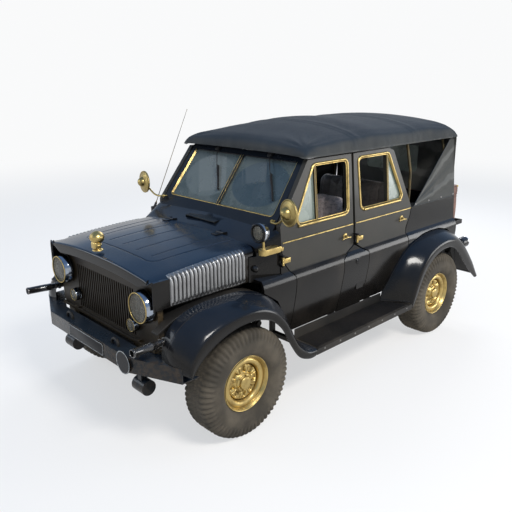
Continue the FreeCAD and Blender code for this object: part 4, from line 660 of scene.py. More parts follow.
def groove_depth(x, y):
    """Depth of the grooves at x, y: a U-shaped outline with round corners, and five straight lines."""
    half = 0.43 + 0.02 * (y + 1.577) / 0.577
    corner = 0.07
    dx = np.abs(x) - (half - corner)
    dy = (-1.577 + corner) - y
    rim = np.where((dx > 0) & (dy > 0), np.hypot(dx, dy), np.maximum(dx, dy)) - corner
    depth = 0.005 * ease(-np.abs(rim), -0.006, -0.0015)
    for middle in (0.0, 0.17, 0.34):
        near = ease(-np.abs(np.abs(x) - middle), -0.005, -0.001)
        depth = np.maximum(depth, 0.004 * near * ease(y, -1.53, -1.50) * (1 - ease(y, -1.04, -1.0)))
    return depth


def front_fold(first):
    """Rows of the lip: the first row bent down by a quarter turn, then inwards to the hem."""
    inward = np.zeros_like(first)
    along = np.gradient(first, axis=0)
    inward[:, 0], inward[:, 2] = along[:, 2], -along[:, 0]
    inward /= np.linalg.norm(inward, axis=1, keepdims=True)
    inward *= np.where(inward[:, 2:] * 0.3 - inward[:, :1] * np.sign(first[:, :1]) > 0, -1, 1)
    fold = []
    for a in np.linspace(0, math.pi / 2, 7)[1:]:
        ring = first + inward * FOLD * (1 - math.cos(a))
        ring[:, 1] -= FOLD * math.sin(a)
        fold.append(ring)
    narrow = FOLD + (LIP - FOLD) * ease(-np.abs(first[:, 0]), -0.625, -0.5)
    for share in (0.25, 0.5, 0.75, 1):
        fold.append(fold[5] + inward * (share * (narrow - FOLD))[:, None])
    return [fold[-1] + (0, 0.01, 0)] + fold[::-1]


def bonnet_grid():
    """Bonnet surface [along, across], folded down in front and stepped at the cowl."""
    ys = np.unique(np.concatenate([np.arange(BONNET_FRONT + FOLD, -1.59, 0.016),
                                   np.arange(-1.59, -1.495, 0.003), np.arange(-1.495, BONNET_REAR, 0.022),
                                   [BONNET_REAR]]))
    xs = bonnet_lines()
    rows = []
    for y in ys:
        line = bonnet_section(y)
        top = np.stack([xs, at_x(line, xs)], 1)
        start = np.argmax(line[:, 0] > xs[-1] + 0.004)
        turn = line[start:]
        lowest = np.argmax(turn[:, 1] < 1.1445) or len(turn) // 2
        over = smooth(turn[:lowest], 16)
        skirt = np.linspace((SKIRT_X, 1.1435 if over[-1, 1] > 1.144 else over[-1, 1] - 0.002),
                            (SKIRT_X, SKIRT_Z), 12)
        half = np.concatenate([top, over, skirt])
        row = np.concatenate([half[:0:-1] * (-1, 1), half])
        rows.append(np.insert(row, 1, y, axis=1))
    grid = np.array(rows)
    share = (ys - ys[0]) / (BONNET_REAR - ys[0])
    low = grid[:, :, 2] < 1.144
    grid[:, :, 1] -= low * (BONNET_REAR - SKIRT_REAR) * share[:, None]
    grid[:, :, 2] -= groove_depth(grid[:, :, 0], grid[:, :, 1]) * (np.abs(grid[:, :, 0]) < 0.5)
    return np.concatenate([front_fold(grid[0]), grid])


def bonnet_finish():
    """Gloss black with painted light: a blue sky reflection on top, near-black painted shade in its grooves,
    and a warm brown ground reflection in patches on the front lip: share = step of Y on faces that don't look
    up.
    """
    made = Finish("bonnet_black", Specular_IOR_Level=0.16, Coat_Roughness=0.06)
    up, speck, blotch = made.upward(), made.noise(90, 3), made.noise(2.2, 5)
    lip = (1 - made.step(made.axis("Y"), -1.747, -1.735)) * (1 - up)
    # Painted reflection: faces that look up turn deep blue, the sky in the gloss.
    tone = made.mix(up, (0.0045, 0.004, 0.0035, 1), (0.007, 0.017, 0.034, 1))
    # Painted shade: the hollows on faces that look up, the grooves, go near black and lose their gloss.
    hollow = 1 - made.step(made.node("NewGeometry", output="Pointiness"), 0.45, 0.492)
    tone = made.mix(hollow * up, tone, (0.001, 0.001, 0.001, 1))
    # Painted reflection: the front lip's faces that don't look up take a warm brown in patches, the ground in
    # the gloss.
    tone = made.mix(lip * made.step(made.noise(11, 5), 0.1, 0.5), tone, (0.03, 0.02, 0.01, 1))
    dust = made.step(blotch, 0.35, 0.8) * (0.08 + up * 0.05)
    made.put(Base_Color=made.mix(dust, tone, DUST), Coat_Weight=0.12 - lip * 0.12 - hollow * up * 0.12)
    made.put(Roughness=dust * 0.9 + made.noise(14, 5) * 0.1 + 0.11 + lip * 0.25 + hollow * up * 0.5)
    made.put(Normal=made.relief(speck, 0.00003))
    return made.material


made_of("bonnet_lid", [shell(bonnet_grid(), 0.003)], bonnet_finish(), "bonnet", ["bonnet"],
        0.75)
hinge_parts = []
for x in (-0.3, 0.3):
    spot = (x, -0.903, 1.24)
    hinge_parts.append(net(turned([(-0.03, 0), (-0.03, 0.008), (0.03, 0.008), (0.03, 0)], spot, 20), True))
    hinge_parts.append(block((x - 0.03, -0.965, 1.2325), (x + 0.03, -0.905, 1.2405), 0.002))
made_of("bonnet_hinge_leaves", hinge_parts, black, "bonnet")

# Bonnet louvres
# Twenty half-round metal hoods on each side, side by side in a bare metal panel that follows the
# shoulder of the bonnet. Each hood is a closed bulge of the panel.
LOUVRES, LOUVRE_FRONT, LOUVRE_REAR, LOUVRE_LOW, LOUVRE_TOP_X = 20, -1.603, -0.987, 0.974, 0.612
LOUVRE_STEPS, LOUVRE_ROWS = 10, 24


def louvre_grid():
    """Louvre surface [along, up]: hoods stand out along the normal, h(y) = rise of a leaning half round."""
    ys = np.linspace(LOUVRE_FRONT, LOUVRE_REAR, LOUVRES * LOUVRE_STEPS + 1)
    rows = []
    for y in ys:
        line = bonnet_section(y)
        keep = (line[:, 0] > LOUVRE_TOP_X) & (line[:, 1] > LOUVRE_LOW)
        rows.append(np.insert(smooth(line[keep][::-1], LOUVRE_ROWS), 1, y, axis=1))
    grid = np.array(rows)
    out = normals(grid)
    out *= np.sign(out[:, :, :1])
    share = (np.arange(len(ys)) % LOUVRE_STEPS) / LOUVRE_STEPS
    hood = np.sin(np.pi * np.clip(share / 0.86, 0, 1) ** 0.8) ** 0.75
    up = np.linspace(0, 1, LOUVRE_ROWS)
    length = ease(up, 0.03, 0.1) * (1 - ease(up, 0.88, 0.985))
    lift = 0.0035 + 0.0125 * hood[:, None] * length[None, :]
    frame_edge = np.minimum(np.arange(len(ys)), np.arange(len(ys))[::-1])
    lift *= ease(frame_edge, -1, 2)[:, None] * 0.999 + 0.001
    return grid + out * lift[..., None]


def bare_metal(name, colour, roughness, dark):
    """Worn bare metal: the hollows are painted near black as shade, and scratches run in the roughness."""
    made = Finish(name, Metallic=1.0)
    fine = made.noise(200, 3, (1, 1, 6))
    # Painted shade: the hollows go near black.
    hollow = 1 - made.step(made.node("NewGeometry", output="Pointiness"), 0.42, 0.52)
    patch = made.step(made.noise(9, 5), 0.4, 0.75)
    shade = made.mix(hollow * 0.8 + patch * 0.2, colour, dark)
    made.put(Base_Color=shade, Roughness=fine * 0.2 + patch * 0.2 + roughness,
             Normal=made.relief(fine, 0.00006))
    return made.material


louvre_metal = bare_metal("louvre_metal", (0.3, 0.3, 0.3, 1), 0.24, (0.016, 0.014, 0.012, 1))
made_of("bonnet_louvre_panels", both([shell(louvre_grid(), -0.0015)]), louvre_metal, "bonnet",
        ["bonnet_louvres"], 1.0)

# Cowl, grille panel, windscreen frame, floor and body sides
# Folded and welded sheet steel panels of the body shell, gloss black outside and bolted to the
# frame. They keep the imported shapes, with their edges rounded.
# Painted reflection: the grille panel's brown-black is the brown ground seen in its gloss; its rubbed edges
# are wear.
brown_black = painted("front_black", (0.017, 0.0115, 0.006, 1), 0.36, dust=0.12, coat=0.0, wear=0.4,
                      worn=(0.1, 0.07, 0.035, 1), shine=0.16)
dressed("cowl", black, 0.002)
dressed("grille_panel", brown_black, 0.0012)
dressed("windscreen_frame", black, 0.002)
dressed("body_sides", black, 0.0015)
dressed("tailgate", black, 0.002)
dressed("luggage_shelf", chassis_paint, 0.0015)

# Doors
# Four welded steel doors: gloss black up to the crease, dark satin grey above it. Brass tubes frame
# the windows, a brass strip runs along the waist, and each door has a T handle and one outside hinge.
CREASE_Z = 0.984


def door_finish():
    """Gloss black below the crease and satin grey above: share = step of the height at the crease."""
    made = Finish("door_two_tone", Specular_IOR_Level=0.16, Coat_Weight=0.1, Coat_Roughness=0.08)
    above = made.step(made.axis("Z"), CREASE_Z - 0.001, CREASE_Z + 0.001)
    blotch, speck = made.noise(3, 5), made.noise(90, 3)
    dust = made.step(blotch, 0.35, 0.8) * 0.1
    grey = made.mix(speck * 0.3, (0.02, 0.019, 0.016, 1), (0.034, 0.033, 0.028, 1))
    made.put(Base_Color=made.mix(dust, made.mix(above, (0.0048, 0.0042, 0.0036, 1), grey), DUST))
    made.put(Roughness=above * 0.26 + dust * 0.8 + 0.16)
    made.put(Normal=made.relief(speck, 0.00003))
    return made.material


def rounded(corners, radius, steps=8):
    """Closed line through corners in a plane, each one turned with an arc of the radius."""
    corners = np.asarray(corners, float)
    line = []
    for k, corner in enumerate(corners):
        before, after = corners[k - 1] - corner, corners[(k + 1) % len(corners)] - corner
        before, after = before / np.linalg.norm(before), after / np.linalg.norm(after)
        half = math.acos(np.clip(before.dot(after), -1, 1)) / 2
        middle = (before + after) / np.linalg.norm(before + after)
        centre = corner + middle * radius / math.sin(half)
        start, end = corner + before * radius / math.tan(half), corner + after * radius / math.tan(half)
        for share in np.linspace(0, 1, steps):
            spoke = (start - centre) * (1 - share) + (end - centre) * share
            line.append(centre + spoke / np.linalg.norm(spoke) * radius)
    return np.array(line)


def inset(corners, distance):
    """The polygon drawn in by a distance: each corner moves along the bisector."""
    corners = np.asarray(corners, float)
    out = []
    area = sum(a[0] * b[1] - b[0] * a[1] for a, b in zip(corners, np.roll(corners, -1, 0)))
    for k, corner in enumerate(corners):
        edges = [corner - corners[k - 1], corners[(k + 1) % len(corners)] - corner]
        n = [np.array((-e[1], e[0])) / np.linalg.norm(e) * np.sign(area) for e in edges]
        out.append(corner + (n[0] + n[1]) * distance / (1 + n[0].dot(n[1])))
    return np.array(out)


def on_side(line, proud=0.0):
    """Points (y, z) carried onto the side of the body, standing proud of it."""
    line = np.asarray(line, float)
    return np.stack([side(line[:, 1]) + proud, line[:, 0], line[:, 1]], 1)


def filled(line, spacing=0.01):
    """The closed line with points added where they lie far apart."""
    out = []
    for a, b in zip(line, np.roll(line, -1, 0)):
        for share in np.linspace(0, 1, max(2, int(np.linalg.norm(b - a) / spacing) + 1))[:-1]:
            out.append(a + (b - a) * share)
    return np.array(out)


WINDOWS = {"front": ([(-0.566, 1.340), (-0.066, 1.340), (-0.062, 1.700), (-0.345, 1.700)], -0.332),
           "rear": ([(0.170, 1.340), (0.706, 1.340), (0.548, 1.700), (0.150, 1.700)], 0.538)}
SILL_DROP, FRONT_STRETCH, REAR_SHIFT, REAR_STRETCH = 0.038, 0.098, 0.028, 0.05
WINDOW_MARGIN = 0.016


def window_place(end, y, z):
    """Where a point of the window's edge lies: the sill is lower, and the rear edge further back."""
    if end == "front":
        y = y + FRONT_STRETCH * np.clip((y + 0.3) / 0.235, 0, 1)
    else:
        y = y + REAR_SHIFT + REAR_STRETCH * np.clip((y - 0.538) / 0.168, 0, 1)
    return y, z - SILL_DROP * np.clip((1.5 - z) / 0.16, 0, 1)


def in_window(corners, y, z):
    """True inside the four corners or within the margin of them."""
    corners = inset(corners, -WINDOW_MARGIN)
    ahead = np.roll(corners, -1, 0)
    run = ahead - corners
    turn = run[:, 0] * (z - corners[:, 1]) - run[:, 1] * (y - corners[:, 0])
    return bool((turn > 0).all())


def window_moved(end):
    """Move for dressed(): points round the window go to its truer outline, along the leaning side."""
    corners = WINDOWS[end][0]

    def move(x, y, z):
        """Place of one point: moved in the window's plane and set back on the leaning side."""
        if not in_window(corners, y, z):
            return x, y, z
        new_y, new_z = window_place(end, y, z)
        return x + math.copysign(side(new_z) - side(z), x), new_y, new_z

    return move


WAIST_Z = 1.202
WAIST = {"front": (-0.706, 0.088), "rear": (0.124, 0.903)}
HANDLES = {"front": (-0.010, 1.122), "rear": (0.763, 1.134)}
HINGES = {"front": -0.730, "rear": 0.106}
HINGE_X, HINGE_Z = 0.757, 1.085
two_tone = door_finish()
for end in ("front", "rear"):
    window, bar_y = WINDOWS[end]
    window = [window_place(end, y, z) for y, z in window]
    bar_y = window_place(end, bar_y, 1.6)[0]
    trim = []
    loop = on_side(filled(rounded(inset(window, -0.006), 0.042)), 0.001)
    trim.append(tube(loop, 0.008, 12, True))
    loop = on_side(filled(rounded(inset(window, 0.007), 0.034)), -0.003)
    trim.append(tube(loop, 0.0034, 8, True))
    for offset in (-0.0075, 0.0075):
        bar = np.linspace((bar_y + offset, window[0][1] + 0.004), (bar_y + offset, 1.696), 24)
        trim.append(tube(on_side(bar, 0.0005), 0.0024, 8))
    sill = np.linspace((window[0][0] + 0.03, window[0][1] - 0.009),
                       (window[1][0] - 0.045, window[0][1] - 0.009), 40)
    trim.append(tube(on_side(sill, 0.003), 0.011, 14))
    strip = np.linspace((WAIST[end][0] + 0.004, WAIST_Z), (WAIST[end][1] - 0.004, WAIST_Z), 40)
    trim.append(tube(on_side(strip, 0.001), 0.0048, 10))
    y, z = HANDLES[end]
    skin = side(z)
    grip = smooth([(skin + 0.019, y - 0.058, z - 0.012), (skin + 0.023, y - 0.02, z - 0.008),
                   (skin + 0.023, y + 0.015, z - 0.008), (skin + 0.019, y + 0.043, z - 0.012)], 20)
    girth = 0.0052 + 0.002 * np.abs(np.linspace(-1, 1, 20)) ** 3
    trim += [tube(grip, girth, 14), net(turned([(-0.012, 0), (-0.012, 0.024), (0.002, 0.024), (0.005, 0.02),
                                                (0.007, 0.011), (0.024, 0.009), (0.029, 0.006), (0.029, 0)],
                                               (skin, y, z), 28), True)]
    axis_y = HINGES[end]
    barrel = [(-0.029, 0), (-0.029, 0.0095), (-0.011, 0.0095), (-0.01, 0.0088), (-0.009, 0.0095),
              (0.009, 0.0095), (0.01, 0.0088), (0.011, 0.0095), (0.029, 0.0095), (0.029, 0)]
    trim.append(net(turned(barrel, (HINGE_X, axis_y, HINGE_Z), 24, (0, 0, 1)), True))
    plate = block((HINGE_X - 0.003, axis_y + 0.004, HINGE_Z - 0.017),
                  (HINGE_X + 0.005, axis_y + 0.072, HINGE_Z + 0.017), 0.003)
    leaf = block((0.712, axis_y + 0.024, HINGE_Z - 0.014), (HINGE_X + 0.001, axis_y + 0.069, HINGE_Z + 0.014),
                 0.003)
    trim += [plate, leaf]
    for bolt in (0.034, 0.056):
        spot = (HINGE_X + 0.004, axis_y + bolt, HINGE_Z)
        trim.append(net(turned([(-0.003, 0), (-0.003, 0.006), (0.003, 0.0055), (0.0045, 0.003), (0.005, 0)],
                               spot, 12), True))
    for name, parts in (("left", trim), ("right", flipped(trim))):
        node = "door_%s_%s" % (end, name)
        dressed(node, two_tone, 0.0015, lambda x, y, z: abs(x) > side(z) + 0.004,
                window_moved(end))
        made_of("door_%s_%s_brass" % (end, name), parts, brass, node)

# Windscreen and window glass
# Flat laminated panes, hazy with dust except where each wiper has swept an arc clear. The frame
# carries a brass bead along its foot and up both sides, and two thin ones up the middle between its
# two panes. The small door panes are fixed.
LEAN = math.atan2(308, 401)
SLOPE, WIPER_X = 0.506, 0.3
SWEEP_LOW, SWEEP_WIDE, SWEEP_HIGH = 0.24, 0.28, 0.186
WIPER_TURN = math.radians(34)


def on_screen(points):
    """Points (x, up the slope, in front of the frame) set on the leaning windscreen."""
    p = np.asarray(points, float).reshape(-1, 3)
    c, s = math.cos(LEAN), math.sin(LEAN)
    return np.stack([p[:, 0], -0.700 + p[:, 1] * s - p[:, 2] * c, 1.337 + p[:, 1] * c + p[:, 2] * s], 1)


def dusty_glass(name, pivot=None):
    """Hazed glass: colour, alpha and roughness rise with a film of dust, less inside each wiped oval, whose
    colour is a painted reflection.

    The oval about its middle: (x / half width)^2 + (up the slope / half height)^2 < 1.
    """
    made = Finish(name, IOR=1.45, Specular_IOR_Level=0.6)
    film = made.step(made.noise(7, 6), 0.3, 0.7) * 0.7 + made.noise(120, 3) * 0.3
    wiped = 0.0
    if pivot:
        for middle in (pivot[0] + 0.02, 0.04 - pivot[0]):
            wide = (made.axis("X") - middle) / SWEEP_WIDE
            tall = (made.axis("Z") - pivot[2] + SWEEP_LOW * math.cos(LEAN)) / (SWEEP_HIGH * math.cos(LEAN))
            apart = (wide * wide + tall * tall) ** 0.5 + made.noise(40) * 0.03
            wiped = 1 - made.step(apart, 1.0, 1.04) + wiped
        tone = made.mix(film, (0.042, 0.056, 0.052, 1), (0.075, 0.09, 0.083, 1))
        # Painted reflection: inside the wiped ovals the glass is pale green on the car's right half and dark
        # blue on its left.
        painted_wiped_reflection = made.mix(made.step(made.axis("X"), -0.05, 0.05), (0.105, 0.125, 0.12, 1),
                         (0.03, 0.05, 0.062, 1))
        made.put(Base_Color=made.mix(wiped * 0.85, tone, painted_wiped_reflection), Alpha=film * 0.1 + 0.87 - wiped * 0.1)
    else:
        made.put(Base_Color=made.mix(film, (0.12, 0.15, 0.13, 1), (0.19, 0.22, 0.19, 1)),
                 Alpha=film * 0.1 + 0.87)
    made.put(Roughness=film * 0.3 + 0.12)
    made.material.surface_render_method = "DITHERED"
    return made.material


pivot = on_screen([(WIPER_X, SLOPE - 0.01, 0)])[0].tolist()
swept_glass = dusty_glass("windscreen_glass", pivot)
pane_glass = dusty_glass("door_glass")
dressed("windscreen_glass", swept_glass, 0)
for end in ("front", "rear"):
    for turn in ("left", "right"):
        dressed("quarter_glass_%s_%s" % (end, turn), pane_glass, 0, None, window_moved(end))
corners = [(-0.6, 0.034), (0.6, 0.034), (0.58, SLOPE - 0.026), (-0.58, SLOPE - 0.026)]
section = ((-0.002, 0.0004), (0.0004, 0.0016), (0.0115, -0.0125), (0.0085, -0.0125))
rims = []
for out, proud in section:
    line = rounded(inset(corners, out), 0.03 - out, 8)
    low = line[line[:, 1] < SLOPE / 2]
    low = low[np.argsort(np.arctan2(low[:, 0], 0.5 - low[:, 1]))]
    ends = [(side_x * (0.58 - out), SLOPE - 0.026 - out) for side_x in (-1, 1)]
    rims.append(np.insert(np.concatenate([ends[:1], low, ends[1:]]), 2, proud, axis=1))
rims = np.array([rims[0], *rims, rims[-1]])
rims[0] = rims[-1] = (rims[1] + rims[-2]) / 2
beads = [net(on_screen(rims[1:-1].transpose(1, 0, 2)).reshape(rims.shape[1], len(section), 3), False, True)]
for x in (-0.0125, 0.0125):
    beads.append(tube(on_screen([(x, 0.032, 0.0005), (x, SLOPE - 0.025, 0.0005)]), 0.0015, 8))
made_of("windscreen_brass_beads", beads, brass, "root")
gaskets = []
for turn in (-1, 1):
    pane = np.array([(0.014, 0.034), (0.6, 0.034), (0.58, SLOPE - 0.026), (0.014, SLOPE - 0.026)]) * (turn, 1)
    loop = filled(rounded(pane[::turn], 0.024), 0.02)
    gaskets.append(tube(on_screen(np.insert(loop, 2, -0.009, axis=1)), 0.0045, 8, True))
made_of("windscreen_gaskets", gaskets, rubber_black, "root")

# Wipers
# Two motor-driven wipers that hang from the top of the windscreen frame: black motor covers, thin
# steel arms and rubber blades held in a channel.
wiper_parts, blade_parts = [], []
for x in (-WIPER_X, WIPER_X):
    cover = block((-0.022, -0.018, 0), (0.022, 0.018, 0.019), 0.006, 3)
    points, faces = cover
    wiper_parts.append((on_screen(points + (x, SLOPE - 0.002, 0)), faces))
    boss = turned([(0.0, 0), (0.0, 0.011), (0.012, 0.011), (0.015, 0.007), (0.015, 0)], (0, 0, 0), 24,
                  (0, 0, 1))
    points, faces = net(boss, True)
    wiper_parts.append((on_screen(points + (x, SLOPE - 0.012, 0.004)), faces))
    arm = smooth([(0, 0, 0.014), (0, -0.048, 0.017), (0, -0.188, 0.016), (0, -0.279, 0.012)], 30)
    points, faces = tube(arm, np.linspace(0.0042, 0.0026, 30), 8)
    hung = [(points, faces), block((-0.0035, -0.409, 0.003), (0.0035, -0.164, 0.0075), 0.0015)]
    rubber_edge = block((-0.0015, -0.414, -0.0115), (0.0015, -0.159, 0.004), 0.0006, 1)
    for group, pieces in ((wiper_parts, hung), (blade_parts, [rubber_edge])):
        for part in pieces:
            points, faces = placed(part, (x, SLOPE - 0.012, 0), (0, 0, WIPER_TURN))
            group.append((on_screen(points), faces))
made_of("wiper_arms", wiper_parts, rubber_black, "root", ["wipers"])
made_of("wiper_blades", blade_parts, rubber_black, "root")

# Canvas hood
# A proofed cotton hood stretched over three steel bows, fixed to the windscreen frame in front. Its
# sewn seams lie over the bows, the eaves end in a bound hem, and studs hold the rear quarters.
ROOF = [(-0.447, 1.772, 1.762), (-0.443, 1.8, 1.782), (-0.428, 1.832, 1.802), (-0.39, 1.861, 1.818),
        (-0.3, 1.888, 1.832), (0, 1.936, 1.850), (0.25, 1.964, 1.858), (0.45, 1.970, 1.862),
        (0.78, 1.958, 1.852), (1.1, 1.964, 1.860), (1.36, 1.955, 1.856), (1.54, 1.926, 1.842),
        (1.63, 1.880, 1.820), (1.655, 1.838, 1.8), (1.664, 1.812, 1.790)]
EAVE_X, EAVE_Z, CANVAS_T = 0.694, 1.755, 0.003
ROOF_SEAMS = (0.1, 0.9)


def canvas_finish():
    """Woven cotton: two crossed sine waves make the threads, stains and sun-bleaching the colour, with
    painted light: the roof and faces that look up take a darker blue, the tint of the sky, and light lines
    along the quarter flaps' folds are painted highlights.
    """
    made = Finish("hood_canvas", Specular_IOR_Level=0.06, Sheen_Weight=0.03, Sheen_Roughness=0.6)
    warp = made.math("SINE", made.axis("Y") * 2600)
    threads = warp * made.math("SINE", (made.axis("X") + made.axis("Z")) * 2600)
    stain = made.step(made.noise(1.6, 6, (1, 2, 1)), 0.35, 0.7)
    streak = made.step(made.noise(9, 4, (1, 1, 5)), 0.4, 0.75)
    fine = made.noise(140, 4)
    up = made.upward()
    side_tone = made.mix(stain, (0.052, 0.052, 0.047, 1), (0.085, 0.085, 0.078, 1))
    high = made.step(made.axis("Z"), 1.755, 1.77)
    ray = (made.axis("Z") - 1.19) / (made.axis("Y") - 0.9)
    # Painted highlights: light lines fan along the folds of the quarter flaps, below the eaves.
    crease = made.step(made.math("SINE", ray * 19 + made.noise(5, 3) * 5), 0.2, 0.9)
    side_tone = made.mix(crease * (1 - high) * 0.55, side_tone, (0.15, 0.15, 0.14, 1))
    # Painted light: above the eaves the sides darken to the roof's blue-grey, the tint of the sky.
    side_tone = made.mix(high * 0.6, side_tone, (0.022, 0.026, 0.03, 1))
    # Painted light: faces that look up take a dark blue, the tint of the sky.
    tone = made.mix(up, side_tone, made.mix(stain, (0.014, 0.022, 0.032, 1), (0.022, 0.031, 0.041, 1)))
    tone = made.mix(streak * (0.3 - up * 0.25), tone, (0.08, 0.077, 0.07, 1))
    made.put(Base_Color=made.mix(fine * 0.3, tone, (0.022, 0.024, 0.028, 1)), Roughness=0.86 + fine * 0.1)
    made.put(Normal=made.relief(threads * 0.35 + fine + made.noise(30, 4) * 2.5, 0.0004))
    return made.material


def roof_grid(rows=230, across=120):
    """Roof surface [along, across]: sections over the bows plus humps, sags, seams and slack folds."""
    stations = smooth(np.array(ROOF), rows)
    grid = []
    for y, crown, shoulder in stations:
        rise = crown - shoulder
        half = [(EAVE_X, EAVE_Z), (EAVE_X - 0.003, EAVE_Z * 0.6 + shoulder * 0.4),
                (EAVE_X - 0.02, shoulder - 0.01), (EAVE_X - 0.056, shoulder + rise * 0.12),
                (EAVE_X * 0.8, shoulder + rise * 0.4), (EAVE_X * 0.48, shoulder + rise * 0.8), (0, crown)]
        points = [(x, y, z) for x, z in half] + [(-x, y, z) for x, z in half[-2::-1]]
        grid.append(smooth(points, across))
    grid = np.array(grid)
    out = normals(grid)
    out *= np.sign(out[:, :, 2:] + 1e-9)
    x, y, z = (grid[:, :, k] for k in range(3))
    top = ease(z, 1.79, 1.87)
    lift = sum(0.0055 * np.exp(-((y - bow) / 0.035) ** 2) for bow in (0.16, 0.96, 1.56)) * top
    lift = lift - 0.004 * top * np.cos((y - 0.16) * 2 * np.pi / 0.8) ** 2
    lift = lift + sum(0.0016 * ease(-np.abs(y - seam - 0.012), -0.013, -0.0105) for seam in ROOF_SEAMS)
    low = 1 - ease(z, 1.765, 1.86)
    fold = np.sin(y * 23 + 1.5 * np.sin(y * 9) + x * 6) * 0.0028
    fold = fold + np.sin(y * 57 + 2 * np.sin(y * 13)) * 0.0012
    lift = lift + low * fold * ease(z, 1.755, 1.77)
    for corner_y, corner_x, reach in ((-0.42, 0.66, 0.32), (1.62, 0.66, 0.34)):
        dy, dx = y - corner_y, np.abs(x) - corner_x
        apart = np.hypot(dx, dy)
        ray = np.sin(np.arctan2(dx, dy) * 15 + 0.6)
        near = np.exp(-(apart / reach) ** 2) * ease(apart, 0.03, 0.12)
        lift = lift + 0.004 * ray * near * ease(z, 1.755, 1.79)
    swell = np.sin(x * 5.1 + 1.1) * np.sin(y * 4.3 + 0.4)
    lift = lift + 0.002 * swell * top
    return grid + out * np.clip(lift, -0.006, 0.0075)[..., None]


def length_of(line):
    """Length of a line of points."""
    return float(np.linalg.norm(np.diff(line, axis=0), axis=1).sum())


canvas = canvas_finish()
roof = roof_grid()
cloth = made_of("hood_roof", [shell(roof[:, ::-1], CANVAS_T)], canvas, "root", ["canvas_roof"], 1.2)
length_of(roof[100])
length_of(roof[:, 60])
0.985 * length_of(roof[100]) * length_of(roof[:, 60])
hems = [tube(roof[2:-2, k] + ((0.001 if k == 0 else -0.001), 0, 0.002), 0.0042, 8) for k in (0, -1)]
hems += [tube(roof[k, ::3] + (0, 0.003 if k == 0 else -0.003, 0.0), 0.0042, 8) for k in (0, -1)]
made_of("hood_roof_hem", hems, canvas, "root")


def stitches(line, up, pitch=0.009, long=0.0055, radius=0.0009):
    """Thread stitches along a line, each a short raised block lifted by the up vectors."""
    along = np.concatenate([[0], np.cumsum(np.linalg.norm(np.diff(line, axis=0), axis=1))])
    parts = []
    for start in np.arange(pitch, along[-1] - pitch, pitch):
        ends = [np.array([np.interp(start + d, along, line[:, k]) for k in range(3)]) for d in (0, long)]
        rise = np.array([np.interp(start, along, up[:, k]) for k in range(3)])
        way = (ends[1] - ends[0]) / np.linalg.norm(ends[1] - ends[0])
        wide = np.cross(rise, way) * radius
        lift = rise * radius * 1.2
        low = [ends[0] - wide, ends[0] + wide, ends[1] + wide, ends[1] - wide]
        high = [p + lift for p in low]
        points = np.array(low + high) + rise * 0.0002
        parts.append((points, [[0, 1, 2, 3], [7, 6, 5, 4], [0, 4, 5, 1], [1, 5, 6, 2], [2, 6, 7, 3],
                               [3, 7, 4, 0]]))
    return parts


roof_up = normals(roof)
roof_up *= np.sign(roof_up[:, :, 2:] + 1e-9)
thread_parts = []
for seam in ROOF_SEAMS:
    for offset in (0.003, 0.021):
        row = np.argmin(np.abs(roof[:, 60, 1] - seam - offset))
        thread_parts += stitches(roof[row, 2:-2], roof_up[row, 2:-2], 0.012, 0.008)
thread = Finish("thread", Base_Color=(0.2, 0.2, 0.19, 1), Roughness=0.8).material
made_of("hood_stitching", thread_parts, thread, "root")


def flap_grid():
    """Rear quarter flap [up, along]: folds fan out from its lower front corner, as sines of the angle."""
    rows = []
    for z in np.linspace(1.2045, 1.7545, 72):
        share = (z - 1.2045) / 0.55
        low = 0.955 + 0.645 * share
        y = np.linspace(low, 1.6635, 72)
        angle = np.arctan2(z - 1.19, y - 0.9)
        apart = np.hypot(z - 1.19, y - 0.9)
        fan = np.sin(angle * 26 + 1.5 * np.sin(angle * 9)) * 0.75 + np.sin(angle * 47 + 2) * 0.25
        edge = ease(z, 1.2045, 1.26) * ease(y - low, 0.0, 0.05) * ease(1.6635 - y, 0, 0.04)
        lift = fan * 0.0085 * ease(apart, 0.04, 0.25) * edge
        rows.append(np.stack([side(z) - 0.003 + lift, y, np.full_like(y, z)], 1))
    return np.array(rows)


flap = flap_grid()
for turn, name in ((1, "left"), (-1, "right")):
    parts = [shell(flap, -0.003)]
    piece = made_of("hood_flap_" + name, parts if turn > 0 else flipped(parts), canvas, "root",
                    ["canvas_curtains"], 1.2)
studs, seams = [], []
for k in range(4):
    y, z = 0.985 + 0.217 * k, 1.222
    studs.append(net(turned([(-0.004, 0), (-0.004, 0.009), (0.001, 0.009), (0.003, 0.0065), (0.0038, 0)],
                            (side(z) + 0.0005, y, z), 16), True))
edge = flap[2:-2, 0] + (0.0005, 0, 0)
seams.append(tube(edge, 0.0042, 8))
seams.append(tube(flap[0, 1:-1] + (0.0005, 0, 0.002), 0.004, 8))
made_of("hood_flap_hems", both(seams), canvas, "root")
made_of("hood_flap_studs", both(studs), steel, "root")

# Rear curtain
# Canvas panel between the quarter flaps, with a bound clear window.
WINDOW = [(-0.3, 1.38), (0.3, 1.38), (0.3, 1.64), (-0.3, 1.64)]


def along_loop(line, shares):
    """Points of a closed line at the given shares of its length."""
    closed = np.concatenate([line, line[:1]])
    along = np.concatenate([[0], np.cumsum(np.linalg.norm(np.diff(closed, axis=0), axis=1))])
    return np.stack([np.interp(np.asarray(shares) * along[-1], along, closed[:, k]) for k in range(2)], 1)


def ring_points(inner, outer, count, steps):
    """Grid between two closed lines, matched by direction from the middle of the inner one."""
    centre = inner.mean(0)
    turns = np.linspace(-np.pi, np.pi, count, endpoint=False)
    lines = []
    for line in (inner, outer):
        dense = along_loop(line, np.linspace(0, 1, 3000, endpoint=False))
        angle = np.arctan2(dense[:, 1] - centre[1], dense[:, 0] - centre[0])
        order = np.argsort(angle)
        lines.append(np.stack([np.interp(turns, angle[order], dense[order, k],
                                         period=2 * np.pi) for k in range(2)], 1))
    share = np.linspace(0, 1, steps)[None, :, None]
    return lines[0][:, None] * (1 - share) + lines[1][:, None] * share


